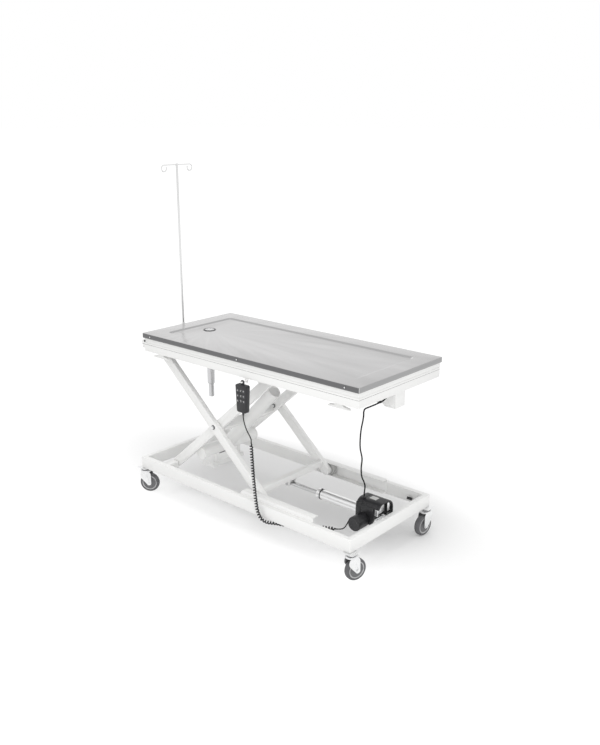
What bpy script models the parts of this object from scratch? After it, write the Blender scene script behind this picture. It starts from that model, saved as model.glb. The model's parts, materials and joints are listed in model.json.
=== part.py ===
"""Veterinary surgery table: scissor lift on a wheeled base, tilting steel top with drain, drip pole, handset.

Metres, +Z up. While it is modelled, X runs from the table's left (drain) end to its right (motor) end,
Y is 0 in the middle with the front at -Y, and Z is 0 on the floor. The last step moves the origin under
the middle.
"""

import math

import bmesh
import bpy
from mathutils import Matrix, Vector

OBJECT_NAME = "veterinary_surgery_table"

# Clearances
GAP = 0.0003
RUNNING_GAP = 0.0004
SIDE_GAP = 0.0015

# Steel top
TOP_LENGTH = 1.340
TOP_WIDTH = 0.600
TOP_EDGE = 0.025
SHEET = 0.0015
HEM = 0.014
RIM_BORDER = 0.085
BASIN_SLOPE = 0.012
BASIN_DEPTH = 0.006
BASIN_CORNER = 0.022
DRAIN_DROP = 0.008
DRAIN_X = 0.159
DRAIN_HOLE_RADIUS = 0.026

# Drain
DRAIN_FLANGE_RADIUS = 0.0325
DRAIN_FLANGE_THICKNESS = 0.002
DRAIN_NECK_LENGTH = 0.030
DRAIN_WALL = 0.003
STRAINER_THICKNESS = 0.003
STRAINER_HOLES = 6
STRAINER_HOLE_RADIUS = 0.0032
PIPE_RADIUS = 0.0193
PIPE_LENGTH = 0.250
TAIL_RADIUS = 0.014
TAIL_LENGTH = 0.071
PIPE_WALL = 0.0025

# Upper frames
FRAME_INSET = 0.006
RAIL_WIDTH = 0.040
TILT_RAIL_HEIGHT = 0.021
LIFT_RAIL_HEIGHT = 0.044
CHANNEL_WALL = 0.003
LEFT_BAR = 0.008
TILT_MEMBER_X = 0.400
TILT_MEMBER_WIDTH = 0.030
SHOE_HEIGHT = 0.012
SHOE_BEHIND = 0.080
SHOE_AHEAD = 0.022
LIFT_MEMBER_X = 0.600
LIFT_MEMBER_SIZE = 0.030
HINGE_X = -0.008
HINGE_RADIUS = 0.010
HINGE_PIN_RADIUS = 0.005
KNUCKLE_LENGTH = 0.065
HINGE_LEAF = 0.005

# Base
BASE_LEFT = -0.064
BASE_RIGHT = 1.311
BASE_OVERHANG = 0.001
BASE_RAIL_WIDTH = 0.025
BASE_RAIL_HEIGHT = 0.060
CONTROL_BOX_X = 0.235
CONTROL_BOX_RISE = 0.0303
CONTROL_BOX_LENGTH = 0.220
CONTROL_BOX_WIDTH = 0.080
CONTROL_BOX_HEIGHT = 0.022
HANGER_REACH = 0.080
HANGER_WIDTH = 0.024
HANGER_SHEET = 0.004

# Casters
CASTER_HEIGHT = 0.135
CASTER_INSETS = (0.006, 0.016)
CASTER_TRAIL = 0.022
CASTER_YAWS = {"front_left": 34.0, "front_right": 73.0, "rear_right": -95.0, "rear_left": -60.0}
WHEEL_RADIUS = 0.050
WHEEL_WIDTH = 0.032
FORK_SHEET = 0.003
FORK_CLEARANCE = 0.0025
CASTER_PLATE = (0.056, 0.056, 0.003)
RACE_RADIUS = 0.024
RACE_HEIGHT = 0.0125
CROWN_HEIGHT = 0.007
AXLE_RADIUS = 0.005

# Scissor
LOWER_AXIS_RISE = 0.045
LIFT_PIVOT_X = 0.104
LOWER_ARM = 0.4253
UPPER_ARM = 0.51135
REST_ANGLE = math.radians(41.0)
ARM_DEPTH = 0.046
ARM_WIDTH = 0.025
OUTER_ARM_INSET = 0.063
PIVOT_RADIUS = 0.008
UPPER_AXIS_IN_RAIL = 0.019
LOWER_ROLLER_RADIUS = 0.030
LOWER_ROLLER_WIDTH = 0.026
UPPER_ROLLER_RADIUS = 0.0155
UPPER_ROLLER_WIDTH = 0.022
TRACK_BEHIND = 0.121
TRACK_AHEAD = 0.339
TRACK_DEPTH = 0.0352
TRACK_WALL = 0.003
TORSION_TUBE_RADIUS = 0.0325
TORSION_TUBE_ALONG = 0.184
TORSION_TUBE_BELOW = 0.041
CENTRE_TUBE_RADIUS = 0.033
CENTRE_TUBE_ALONG = 0.668
CENTRE_TUBE_ABOVE = 0.005
CROSS_BEAM_ALONG = 0.385
CROSS_BEAM_SIZE = (0.044, 0.040)
CROSSBAR_SIZE = 0.030
CROSSBAR_BACK = 0.0302
CROSSBAR_RISE = 0.0335

# Lift actuator
LIFT_PIN_BACK = 0.044
LIFT_PIN_DROP = 0.004
LIFT_PIN_RADIUS = 0.006
LIFT_ROD_RADIUS = 0.011
LIFT_ROD_LENGTH = 0.320
LIFT_EYE_RADIUS = 0.014
LIFT_EYE_WIDTH = 0.030
LUG_SHEET = 0.008
LIFT_ROD_SHOWN = 0.187
LIFT_TUBE_RADIUS = 0.0235
LIFT_BORE_GAP = 0.0025
LIFT_HOUSING_LENGTH = 0.124
LIFT_HOUSING_WIDTH = 0.116
LIFT_HOUSING_BELOW = 0.031
LIFT_HOUSING_ABOVE = 0.076
LIFT_HOUSING_WALL = 0.006
LIFT_POCKET_DEPTH = 0.050
LIFT_REAR_PIN_BACK = 0.055
LIFT_REAR_PIN_IN = 0.018
MOTOR_BACK = 0.045
MOTOR_DROP = 0.011
MOTOR_RADIUS = 0.031
MOTOR_LENGTH = 0.070
TONGUE_WIDTH = 0.024

# Tilt drive
LEVER_PIVOT_AHEAD = 0.045
LEVER_PIVOT_RISE = 0.0215
TILT_ROLLER_BACK = 0.144
LEVER_SHORT_ARM = 0.060
LEVER_SHORT_ANGLE = math.radians(-103.2)
LEVER_SHEET = 0.010
LEVER_PIN_RADIUS = 0.006
TILT_ROLLER_RADIUS = 0.018
TILT_ROLLER_WIDTH = 0.020
TILT_ROLLER_GAP = 0.0005
TILT_PIN_RADIUS = 0.004
TILT_PIN_GAP = 0.0020
TILT_ROD_RADIUS = 0.009
TILT_ROD_LENGTH = 0.330
TILT_ROD_SHOWN = 0.1687
TILT_TUBE_RADIUS = 0.016
TILT_MOTOR_LENGTH = 0.150
TILT_TAIL_LENGTH = 0.034
TILT_MOTOR_SIZE = 0.054
TILT_EYE_RADIUS = 0.012
TILT_BRACKET_INSET = 0.004
TILT_BRACKET_LENGTH = 0.092
TILT_BRACKET_WIDTH = 0.070
TILT_BRACKET_DROP = 0.068
TILT_BRACKET_SHEET = 0.004
TILT_REAR_PIN_BACK = 0.050

# Drip pole
POLE_X = -0.042
POLE_RADIUS = 0.006
POLE_TOP = 1.663
POLE_SOCKET_RADIUS = 0.013
POLE_SOCKET_HEIGHT = 0.080
POLE_SOCKET_FLOOR = 0.006
HOOK_WIRE = 0.003
HOOK_REACH = 0.082
HOOK_LOOP = 0.0155
KNOB_RADIUS = 0.015
KNOB_LENGTH = 0.016

# Rope cleats and handset
CLEAT_INSETS = (0.104, 0.112)
CLEAT_LENGTH = 0.112
CLEAT_HEIGHT = 0.024
CLEAT_SHEET = 0.014
HANDSET_X = 0.711
HANDSET_TOP_WIDTH = 0.068
HANDSET_BOTTOM_WIDTH = 0.056
HANDSET_HEIGHT = 0.128
HANDSET_DEPTH = 0.026
HANDSET_STANDOFF = 0.010
HANDSET_DROP = 0.0225
HANDSET_CORNER = 0.008
RELIEF_LENGTH = 0.0165
RELIEF_RADII = (0.006, 0.0035)
PEG_RADIUS = 0.004
EYELET_RADIUS = 0.010
KEY_SIZE = (0.015, 0.014)
KEY_DEPTH = 0.004
KEY_PROUD = 0.0015
KEY_TRAVEL = 0.001
KEY_COLUMN = 0.0185
KEY_ROWS = ("top", "middle", "bottom")
KEY_FIRST_ROW = 0.026
KEY_ROW_PITCH = 0.024

# Cords
CORD_RADIUS = 0.0022
COIL_RADIUS = 0.0058
COIL_TURNS = 62
COIL_POINTS = 8
CABLE_RADIUS = 0.0032
CORD_GAP = 0.0004
GLAND_RADIUS = 0.007
GLAND_HEIGHT = 0.0105
LEAD_FALL = (0.050, -0.003, -0.1105)
COIL_EDGE = (0.090, -0.018, 0.017)
COIL_END = (-0.071, -0.0187, -0.010)
MOTOR_ENTRY = (-0.0006, -0.050)
RISE_START = (0.026, -0.030)
RISE_END = (-0.0285, -0.2215, -0.040)
RUN_END = (-0.033, -0.0095)
LEAD_ROUTE = ((0.711, -0.317, 0.6085), (0.711, -0.317, 0.602), (0.715, -0.3175, 0.582),
              (0.730, -0.319, 0.550), (0.751, -0.320, 0.524), (0.761, -0.320, 0.508),
              (0.761, -0.320, 0.498))
HANG_ROUTE = ((0.761, -0.320, 0.4976), (0.763, -0.3205, 0.450), (0.769, -0.321, 0.365),
              (0.777, -0.322, 0.290), (0.785, -0.322, 0.225), (0.7915, -0.3215, 0.183),
              (0.801, -0.319, 0.152))
UNDER_ROUTE = ((0.801, -0.319, 0.152), (0.812, -0.313, 0.133), (0.8285, -0.308, 0.1255),
               (0.8535, -0.303, 0.1245), (0.881, -0.2885, 0.1245), (0.910, -0.277, 0.1245),
               (0.950, -0.2535, 0.1245), (1.000, -0.2225, 0.1245), (1.0615, -0.1835, 0.1245),
               (1.095, -0.1655, 0.1245), (1.124, -0.147, 0.125))
MOTOR_ROUTE = ((1.1244, -0.1466, 0.125), (1.1315, -0.1405, 0.1252), (1.1395, -0.131, 0.1275),
               (1.144, -0.1215, 0.1345), (1.1468, -0.1135, 0.145), (1.150, -0.1085, 0.157),
               (1.156, -0.108, 0.165), (1.1634, -0.108, 0.165))
RISE_ROUTE = ((1.176, -0.030, 0.2625), (1.176, -0.030, 0.2735), (1.1813, -0.034, 0.3177),
              (1.1825, -0.060, 0.3676), (1.193, -0.0793, 0.4184), (1.2088, -0.096, 0.4712),
              (1.2185, -0.1236, 0.5287), (1.2368, -0.1493, 0.5863), (1.262, -0.1773, 0.6439),
              (1.2898, -0.205, 0.6918), (1.3045, -0.220, 0.7225), (1.3055, -0.2215, 0.7355))
RUN_ROUTE = ((1.3055, -0.2215, 0.7359), (1.3055, -0.2215, 0.7392), (1.3056, -0.2178, 0.7475),
             (1.306, -0.2085, 0.7512), (1.307, -0.180, 0.7516), (1.307, -0.140, 0.7518),
             (1.306, -0.100, 0.7528), (1.304, -0.076, 0.756), (1.302, -0.058, 0.7622),
             (1.301, -0.045, 0.766), (1.301, -0.0354, 0.766))
CORD_NAMES = ("handset_lead", "handset_coil", "motor_lead", "tilt_cable_rise", "tilt_cable_run")

# Facets
SIDES = 20
SMALL_SIDES = 10
EDGE = 0.002

# Heights and places that follow from the sizes above
BASE_HALF = TOP_WIDTH / 2 + BASE_OVERHANG
OUTER_ARM_FACE = BASE_HALF - OUTER_ARM_INSET
BASE_TOP = CASTER_HEIGHT + BASE_RAIL_HEIGHT
LOWER_AXIS_Z = CASTER_HEIGHT + LOWER_AXIS_RISE
CENTRE_X = LIFT_PIVOT_X + LOWER_ARM * math.cos(REST_ANGLE)
CENTRE_Z = LOWER_AXIS_Z + LOWER_ARM * math.sin(REST_ANGLE)
LOWER_ROLLER_X = CENTRE_X + LOWER_ARM * math.cos(REST_ANGLE)
TRACK_START = LOWER_ROLLER_X - TRACK_BEHIND
TRACK_END = LOWER_ROLLER_X + TRACK_AHEAD
UPPER_AXIS_Z = CENTRE_Z + UPPER_ARM * math.sin(REST_ANGLE)
UPPER_PIVOT_X = CENTRE_X - UPPER_ARM * math.cos(REST_ANGLE)
UPPER_ROLLER_X = CENTRE_X + UPPER_ARM * math.cos(REST_ANGLE)
ARM_LENGTH = LOWER_ARM + UPPER_ARM
INNER_ARM_FACE = OUTER_ARM_FACE - ARM_WIDTH - SIDE_GAP
CROSS_REACH = INNER_ARM_FACE - ARM_WIDTH - GAP
LIFT_BOTTOM = UPPER_AXIS_Z - UPPER_AXIS_IN_RAIL
LIFT_TOP = LIFT_BOTTOM + LIFT_RAIL_HEIGHT
TILT_BOTTOM = LIFT_TOP + 3 * GAP
TILT_TOP = TILT_BOTTOM + TILT_RAIL_HEIGHT
LIP_BOTTOM = TILT_TOP + GAP
TABLE_TOP = LIP_BOTTOM + TOP_EDGE
FRAME_LEFT = FRAME_INSET
FRAME_RIGHT = TOP_LENGTH - FRAME_INSET
FRAME_HALF = TOP_WIDTH / 2 - FRAME_INSET
RAIL_INNER = FRAME_HALF - RAIL_WIDTH
HINGE_Z = (LIFT_TOP + TILT_BOTTOM) / 2
BASE_INNER = BASE_HALF - BASE_RAIL_WIDTH
DRAIN_FLOOR = TABLE_TOP - BASIN_DEPTH - DRAIN_DROP
LIFT_PIN = (LOWER_ROLLER_X - LIFT_PIN_BACK, LOWER_AXIS_Z - LIFT_PIN_DROP)
LIFT_TUBE_MOUTH = LIFT_PIN[0] + LIFT_ROD_SHOWN
LIFT_REAR_PIN_X = BASE_RIGHT - LIFT_REAR_PIN_BACK
LIFT_HOUSING_REAR = LIFT_REAR_PIN_X + LIFT_REAR_PIN_IN
LIFT_HOUSING_FRONT = LIFT_HOUSING_REAR - LIFT_HOUSING_LENGTH
MOTOR_X = LIFT_HOUSING_FRONT + MOTOR_BACK
MOTOR_FACE = -LIFT_HOUSING_WIDTH / 2 - GAP
CLEAT_XS = (FRAME_LEFT + CLEAT_INSETS[0], FRAME_RIGHT - CLEAT_INSETS[1])
LEVER_PIVOT = (LIFT_MEMBER_X + LEVER_PIVOT_AHEAD, LIFT_BOTTOM + LEVER_PIVOT_RISE)
TILT_ROD_Z = LEVER_PIVOT[1] - LEVER_SHORT_ARM * (1 + math.sin(-LEVER_SHORT_ANGLE)) / 2
TILT_ROD_X = LEVER_PIVOT[0] + LEVER_SHORT_ARM * math.cos(LEVER_SHORT_ANGLE)
TILT_ROLLER_Z = TILT_BOTTOM - TILT_ROLLER_GAP - TILT_ROLLER_RADIUS
TILT_ROLLER_CENTRE = (FRAME_RIGHT - TILT_ROLLER_BACK, TILT_ROLLER_Z)
TILT_TUBE_MOUTH = TILT_ROD_X + TILT_ROD_SHOWN
TILT_REAR_PIN_X = FRAME_RIGHT - TILT_REAR_PIN_BACK
TILT_MOTOR_REAR = TILT_REAR_PIN_X - TILT_TAIL_LENGTH
TILT_MOTOR_FRONT = TILT_MOTOR_REAR - TILT_MOTOR_LENGTH
TILT_BRACKET_RIGHT = FRAME_RIGHT - TILT_BRACKET_INSET
HANDSET_TOP_Z = LIFT_BOTTOM - HANDSET_DROP
HANDSET_BACK = -FRAME_HALF - HANDSET_STANDOFF
HANDSET_FRONT = HANDSET_BACK - HANDSET_DEPTH
HANDSET_MIDDLE = (HANDSET_BACK + HANDSET_FRONT) / 2
HANDSET_LOW = HANDSET_TOP_Z - HANDSET_HEIGHT
GLAND = (LIFT_HOUSING_FRONT + RISE_START[0], RISE_START[1], LIFT_PIN[1] + LIFT_HOUSING_ABOVE + GLAND_HEIGHT)


def clear_scene():
    """Remove whatever the scene holds."""
    for obj in list(bpy.data.objects):
        bpy.data.objects.remove(obj, do_unlink=True)


def make_collection(name):
    """Add a collection to the scene."""
    collection = bpy.data.collections.new(name)
    bpy.context.scene.collection.children.link(collection)
    return collection


def make_material(name, colour, roughness, metallic=0.0):
    """Principled material of one colour."""
    material = bpy.data.materials.new(name)
    material.use_nodes = True
    shader = material.node_tree.nodes["Principled BSDF"]
    shader.inputs["Base Color"].default_value = (*colour, 1.0)
    shader.inputs["Roughness"].default_value = roughness
    shader.inputs["Metallic"].default_value = metallic
    return material


clear_scene()
PARTS = make_collection(OBJECT_NAME)
CUTTERS = make_collection("cutters")
WHITE = make_material("white_powder_coat", (0.83, 0.83, 0.82), 0.4)
STAINLESS = make_material("brushed_stainless", (0.55, 0.55, 0.56), 0.3, 1.0)
ZINC = make_material("bright_zinc", (0.70, 0.71, 0.72), 0.28, 1.0)
STEEL = make_material("bare_steel", (0.50, 0.51, 0.52), 0.35, 1.0)
BLACK = make_material("black_plastic", (0.02, 0.02, 0.022), 0.45)
RUBBER = make_material("grey_rubber", (0.22, 0.22, 0.23), 0.7)
DARK = make_material("dark_nylon", (0.06, 0.06, 0.065), 0.5)
CORD = make_material("black_cord", (0.015, 0.015, 0.015), 0.5)


def add_object(name, mesh):
    """Link a mesh to the parts under a name."""
    obj = bpy.data.objects.new(name, mesh)
    PARTS.objects.link(obj)
    return obj


def from_bmesh(name, bm):
    """Object from a finished bmesh."""
    mesh = bpy.data.meshes.new(name)
    bm.to_mesh(mesh)
    bm.free()
    return add_object(name, mesh)


def round_edges(obj, width, segments=2):
    """Bevel the sharp edges of a piece."""
    bevel = obj.modifiers.new("rounded_edges", "BEVEL")
    bevel.width = width
    bevel.segments = segments
    bevel.limit_method = "ANGLE"
    bevel.angle_limit = math.radians(50)


def box(name, low, high, edge=0.0, segments=2):
    """Box between two corners."""
    low, high = Vector(low), Vector(high)
    bm = bmesh.new()
    bmesh.ops.create_cube(bm, size=1.0)
    bmesh.ops.scale(bm, vec=high - low, verts=bm.verts)
    obj = from_bmesh(name, bm)
    obj.location = (low + high) / 2
    if edge:
        round_edges(obj, edge, segments)
    return obj


def cylinder(name, start, end, radius, sides=SIDES):
    """Cylinder between the centres of its two ends."""
    start, end = Vector(start), Vector(end)
    bm = bmesh.new()
    bmesh.ops.create_cone(bm, cap_ends=True, segments=sides, radius1=radius, radius2=radius,
                          depth=(end - start).length)
    obj = from_bmesh(name, bm)
    obj.location = (start + end) / 2
    obj.rotation_euler = (end - start).to_track_quat("Z", "Y").to_euler()
    return obj


def turned(name, profile, steps=SIDES):
    """Solid of revolution about Z from (radius, height) points that run down the outer side."""
    mesh = bpy.data.meshes.new(name)
    points = [(radius, 0.0, height) for radius, height in profile]
    edges = [(i, i + 1) for i in range(len(points) - 1)]
    if profile[0][0] > 0:
        edges.append((len(points) - 1, 0))
    mesh.from_pydata(points, edges, [])
    obj = add_object(name, mesh)
    screw = obj.modifiers.new("turned", "SCREW")
    screw.axis = "Z"
    screw.steps = steps
    screw.render_steps = steps
    screw.use_merge_vertices = True
    screw.merge_threshold = 0.00001
    return obj


def mesh_of_curve(name, curve):
    """Closed mesh from a curve, with its caps welded on."""
    source = bpy.data.objects.new(name, curve)
    PARTS.objects.link(source)
    graph = bpy.context.evaluated_depsgraph_get()
    mesh = bpy.data.meshes.new_from_object(source.evaluated_get(graph))
    bpy.data.objects.remove(source)
    bm = bmesh.new()
    bm.from_mesh(mesh)
    bmesh.ops.remove_doubles(bm, verts=bm.verts, dist=0.000001)
    bmesh.ops.recalc_face_normals(bm, faces=bm.faces)
    bm.to_mesh(mesh)
    bm.free()
    mesh.name = name
    return mesh


def plate(name, outline, thickness, holes=()):
    """Flat plate in the XZ plane, centred on Y = 0, from (x, z) loops."""
    curve = bpy.data.curves.new(name, "CURVE")
    curve.dimensions = "2D"
    curve.fill_mode = "BOTH"
    curve.extrude = thickness / 2
    for loop in (outline, *holes):
        spline = curve.splines.new("POLY")
        spline.points.add(len(loop) - 1)
        for point, (x, z) in zip(spline.points, loop):
            point.co = (x, z, 0.0, 1.0)
        spline.use_cyclic_u = True
    mesh = mesh_of_curve(name, curve)
    mesh.transform(Matrix.Rotation(math.pi / 2, 4, "X"))
    return add_object(name, mesh)


def tube(name, points, radius, resolution=2):
    """Round solid along a line of points."""
    curve = bpy.data.curves.new(name, "CURVE")
    curve.dimensions = "3D"
    curve.bevel_depth = radius
    curve.bevel_resolution = resolution
    curve.use_fill_caps = True
    spline = curve.splines.new("POLY")
    spline.points.add(len(points) - 1)
    for point, place in zip(spline.points, points):
        point.co = (*place, 1.0)
    return add_object(name, mesh_of_curve(name, curve))


def loft(name, rings):
    """Open surface through rings that have the same number of points."""
    bm = bmesh.new()
    loops = [[bm.verts.new(point) for point in ring] for ring in rings]
    count = len(rings[0])
    for lower, upper in zip(loops, loops[1:]):
        for i in range(count):
            j = (i + 1) % count
            bm.faces.new((lower[i], lower[j], upper[j], upper[i]))
    bmesh.ops.recalc_face_normals(bm, faces=bm.faces)
    return from_bmesh(name, bm)


def arc(centre, radius, start, stop, count):
    """Points along an arc, both ends included."""
    angles = [start + (stop - start) * i / count for i in range(count + 1)]
    return [(centre[0] + radius * math.cos(a), centre[1] + radius * math.sin(a)) for a in angles]


def circle(centre, radius, count=SMALL_SIDES):
    """Closed loop of points round a centre."""
    half_step = math.pi / count
    return arc(centre, radius, half_step, half_step + math.tau, count)[:-1]


def link_outline(first, first_radius, second, second_radius, count=6):
    """Outline of a link: two round ends joined by straight tangents."""
    run = Vector(second) - Vector(first)
    heading = math.atan2(run.y, run.x)
    spread = math.acos((first_radius - second_radius) / run.length)
    back = arc(first, first_radius, heading + spread, heading + math.tau - spread, count)
    return back + arc(second, second_radius, heading - spread, heading + spread, count)


def bore_radius(pin_radius, gap=RUNNING_GAP, count=SMALL_SIDES):
    """Corner radius of a faceted bore whose flats clear a pin by the gap."""
    return (pin_radius + gap) / math.cos(math.pi / count)


def rounded_rectangle(half_x, half_y, radius, count=SIDES // 4 - 1):
    """Closed loop of a rectangle with round corners, counter-clockwise from the right end."""
    points = []
    for i, (sx, sy) in enumerate(((1, 1), (-1, 1), (-1, -1), (1, -1))):
        centre = (sx * (half_x - radius), sy * (half_y - radius))
        points += arc(centre, radius, i * math.pi / 2, (i + 1) * math.pi / 2, count)
    return points


def hide_tool(tool):
    """Keep a shape only as the tool of a Boolean."""
    PARTS.objects.unlink(tool)
    CUTTERS.objects.link(tool)
    tool.hide_render = True
    tool.display_type = "WIRE"


def combine(obj, operation, tools):
    """Boolean each tool into a piece."""
    for tool in tools:
        boolean = obj.modifiers.new(operation.lower(), "BOOLEAN")
        boolean.operation = operation
        boolean.solver = "EXACT"
        boolean.object = tool
        hide_tool(tool)
        tool.name = f"{obj.name}_tool"
    return obj


def fuse(obj, *tools):
    """Join shapes into one solid."""
    return combine(obj, "UNION", tools)


def cut(obj, *tools):
    """Cut shapes out of a solid."""
    return combine(obj, "DIFFERENCE", tools)


AXES = {}


def add_axis(name, place, parent=None):
    """Empty on a joint's axis, which carries the pieces of the body that turns there."""
    empty = bpy.data.objects.new(f"axis_{name}", None)
    empty.empty_display_size = 0.05
    PARTS.objects.link(empty)
    empty.location = place
    AXES[name] = (empty, Vector(place))
    if parent:
        carry(empty, parent)
    return empty


def carry(obj, body):
    """Parent an object to a body's axis and keep its place."""
    empty, place = AXES[body]
    obj.parent = empty
    obj.matrix_parent_inverse = Matrix.Translation(-place)


def finish(obj, body, material):
    """Give a piece its body, its material and smooth round faces."""
    carry(obj, body)
    for modifier in obj.modifiers:
        if modifier.type == "BOOLEAN":
            carry(modifier.object, body)
    obj.data.materials.clear()
    obj.data.materials.append(material)
    obj.data.shade_smooth()
    obj.data.set_sharp_from_angle(angle=math.radians(35))
    return obj


def on_y(obj):
    """Turn a piece made along Z so that it lies along Y, its top towards the front."""
    obj.rotation_euler = (math.pi / 2, 0.0, 0.0)
    return obj


def mirrored_box(name, low, high, side, edge=0.0):
    """Box given for the front side, placed on the front (-1) or the rear (+1)."""
    ys = sorted((-side * low[1], -side * high[1]))
    return box(name, (low[0], ys[0], low[2]), (high[0], ys[1], high[2]), edge)


SIDES_OF_TABLE = (("front", -1), ("rear", 1))


def add_axes():
    """Joint axes of the whole table, in the order that bodies carry each other."""
    add_axis("base", (0.0, 0.0, 0.0))
    add_axis("lift", (LIFT_PIVOT_X, 0.0, LOWER_AXIS_Z), "base")
    add_axis("scissor", (CENTRE_X, 0.0, CENTRE_Z), "lift")
    add_axis("level", (UPPER_PIVOT_X, 0.0, UPPER_AXIS_Z), "scissor")
    add_axis("lift_rod", (LIFT_PIN[0], 0.0, LIFT_PIN[1]), "scissor")
    add_axis("lift_actuator", (LIFT_REAR_PIN_X, 0.0, LIFT_PIN[1]), "base")
    add_axis("tilt", (HINGE_X, 0.0, HINGE_Z), "level")
    add_axis("tilt_lever", (LEVER_PIVOT[0], 0.0, LEVER_PIVOT[1]), "level")
    add_axis("tilt_roller", (TILT_ROLLER_CENTRE[0], 0.0, TILT_ROLLER_CENTRE[1]), "tilt_lever")
    add_axis("tilt_rod", (TILT_ROD_X, 0.0, TILT_ROD_Z), "level")
    add_axis("drain_strainer", (DRAIN_X, 0.0, DRAIN_FLOOR), "tilt")
    add_axis("pole", (POLE_X, 0.0, LIFT_BOTTOM), "level")
    add_axis("pole_knob", (POLE_X, 0.0, LIFT_BOTTOM + POLE_SOCKET_HEIGHT / 2), "level")
    for name, side in SIDES_OF_TABLE:
        add_axis(f"lower_roller_{name}", (LOWER_ROLLER_X, side * OUTER_ARM_FACE, LOWER_AXIS_Z), "scissor")
        add_axis(f"upper_roller_{name}", (UPPER_ROLLER_X, side * RAIL_INNER, UPPER_AXIS_Z), "lift")
    for corner, (x, y) in caster_places().items():
        yaw = math.radians(CASTER_YAWS[corner])
        add_axis(f"swivel_{corner}", (x, y, CASTER_HEIGHT), "base")
        axle = (x + CASTER_TRAIL * math.cos(yaw), y + CASTER_TRAIL * math.sin(yaw), WHEEL_RADIUS)
        add_axis(f"wheel_{corner}", axle, f"swivel_{corner}")
    for name, x, z in key_places():
        add_axis(name, (x, HANDSET_FRONT, z), "level")


def caster_places():
    """Swivel axis of each caster, under the base's corners."""
    places = {}
    end_inset, side_inset = CASTER_INSETS
    for row, side in SIDES_OF_TABLE:
        y = side * (BASE_HALF - side_inset)
        places[f"{row}_left"] = (BASE_LEFT + end_inset, y)
        places[f"{row}_right"] = (BASE_RIGHT - end_inset, y)
    return places


def key_places():
    """Name, X and Z of each handset key: an up and a down key in each row."""
    places = []
    for row, name in enumerate(KEY_ROWS):
        z = HANDSET_TOP_Z - KEY_FIRST_ROW - row * KEY_ROW_PITCH
        places.append((f"key_{name}_up", HANDSET_X - KEY_COLUMN, z))
        places.append((f"key_{name}_down", HANDSET_X + KEY_COLUMN, z))
    return places


def build_base_frame():
    """Welded ring of tubes with the lower pivots of the inner arms."""
    low, high = CASTER_HEIGHT, BASE_TOP
    ring = box("base_frame", (BASE_LEFT, -BASE_HALF, low), (BASE_RIGHT, BASE_HALF, high), EDGE)
    inside = box("well", (BASE_LEFT + BASE_RAIL_WIDTH, -BASE_INNER, low - EDGE),
                 (BASE_RIGHT - BASE_RAIL_WIDTH, BASE_INNER, high + EDGE))
    cut(ring, inside)
    reach = BASE_INNER + BASE_RAIL_WIDTH / 2
    for name, side in SIDES_OF_TABLE:
        block_end = INNER_ARM_FACE + SIDE_GAP
        block = mirrored_box(f"block_{name}", (LIFT_PIVOT_X - ARM_DEPTH / 2, -reach,
                                               LOWER_AXIS_Z - ARM_DEPTH / 2),
                             (LIFT_PIVOT_X + ARM_DEPTH / 2, -block_end, LOWER_AXIS_Z + ARM_DEPTH / 4), side)
        pin = cylinder(f"pin_{name}", (LIFT_PIVOT_X, side * reach, LOWER_AXIS_Z),
                       (LIFT_PIVOT_X, side * (INNER_ARM_FACE - ARM_WIDTH - SIDE_GAP), LOWER_AXIS_Z),
                       PIVOT_RADIUS, SMALL_SIDES)
        fuse(ring, block, pin)
    finish(ring, "base", WHITE)


def build_roller_tracks():
    """Channels on the side rails that guide the outer arms' lower rollers."""
    half = LOWER_ROLLER_RADIUS + GAP
    low = LOWER_AXIS_Z - half - TRACK_WALL
    high = LOWER_AXIS_Z + half + TRACK_WALL
    for name, side in SIDES_OF_TABLE:
        outer = -(BASE_INNER - GAP)
        channel = mirrored_box(f"roller_track_{name}", (TRACK_START, outer, low),
                               (TRACK_END, outer + TRACK_DEPTH, high), side)
        groove = mirrored_box(f"groove_{name}", (TRACK_START - EDGE, outer + TRACK_WALL, low + TRACK_WALL),
                              (TRACK_END + EDGE, outer + TRACK_DEPTH + EDGE, high - TRACK_WALL), side)
        slant = plate(f"slant_{name}", ((TRACK_START - EDGE, LOWER_AXIS_Z),
                                        (TRACK_START + LOWER_ROLLER_RADIUS, high + EDGE),
                                        (TRACK_START - EDGE, high + EDGE)), BASE_INNER)
        slant.location.y = side * BASE_INNER
        cut(channel, groove, slant)
        finish(channel, "base", WHITE)


def build_control_box():
    """Flat electronics box that hangs under the torsion tube."""
    low = CASTER_HEIGHT + CONTROL_BOX_RISE
    half_x, half_y = CONTROL_BOX_WIDTH / 2, CONTROL_BOX_LENGTH / 2
    case = box("control_box", (CONTROL_BOX_X - half_x, -half_y, low),
               (CONTROL_BOX_X + half_x, half_y, low + CONTROL_BOX_HEIGHT), 0.005)
    finish(case, "lift", WHITE)


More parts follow.
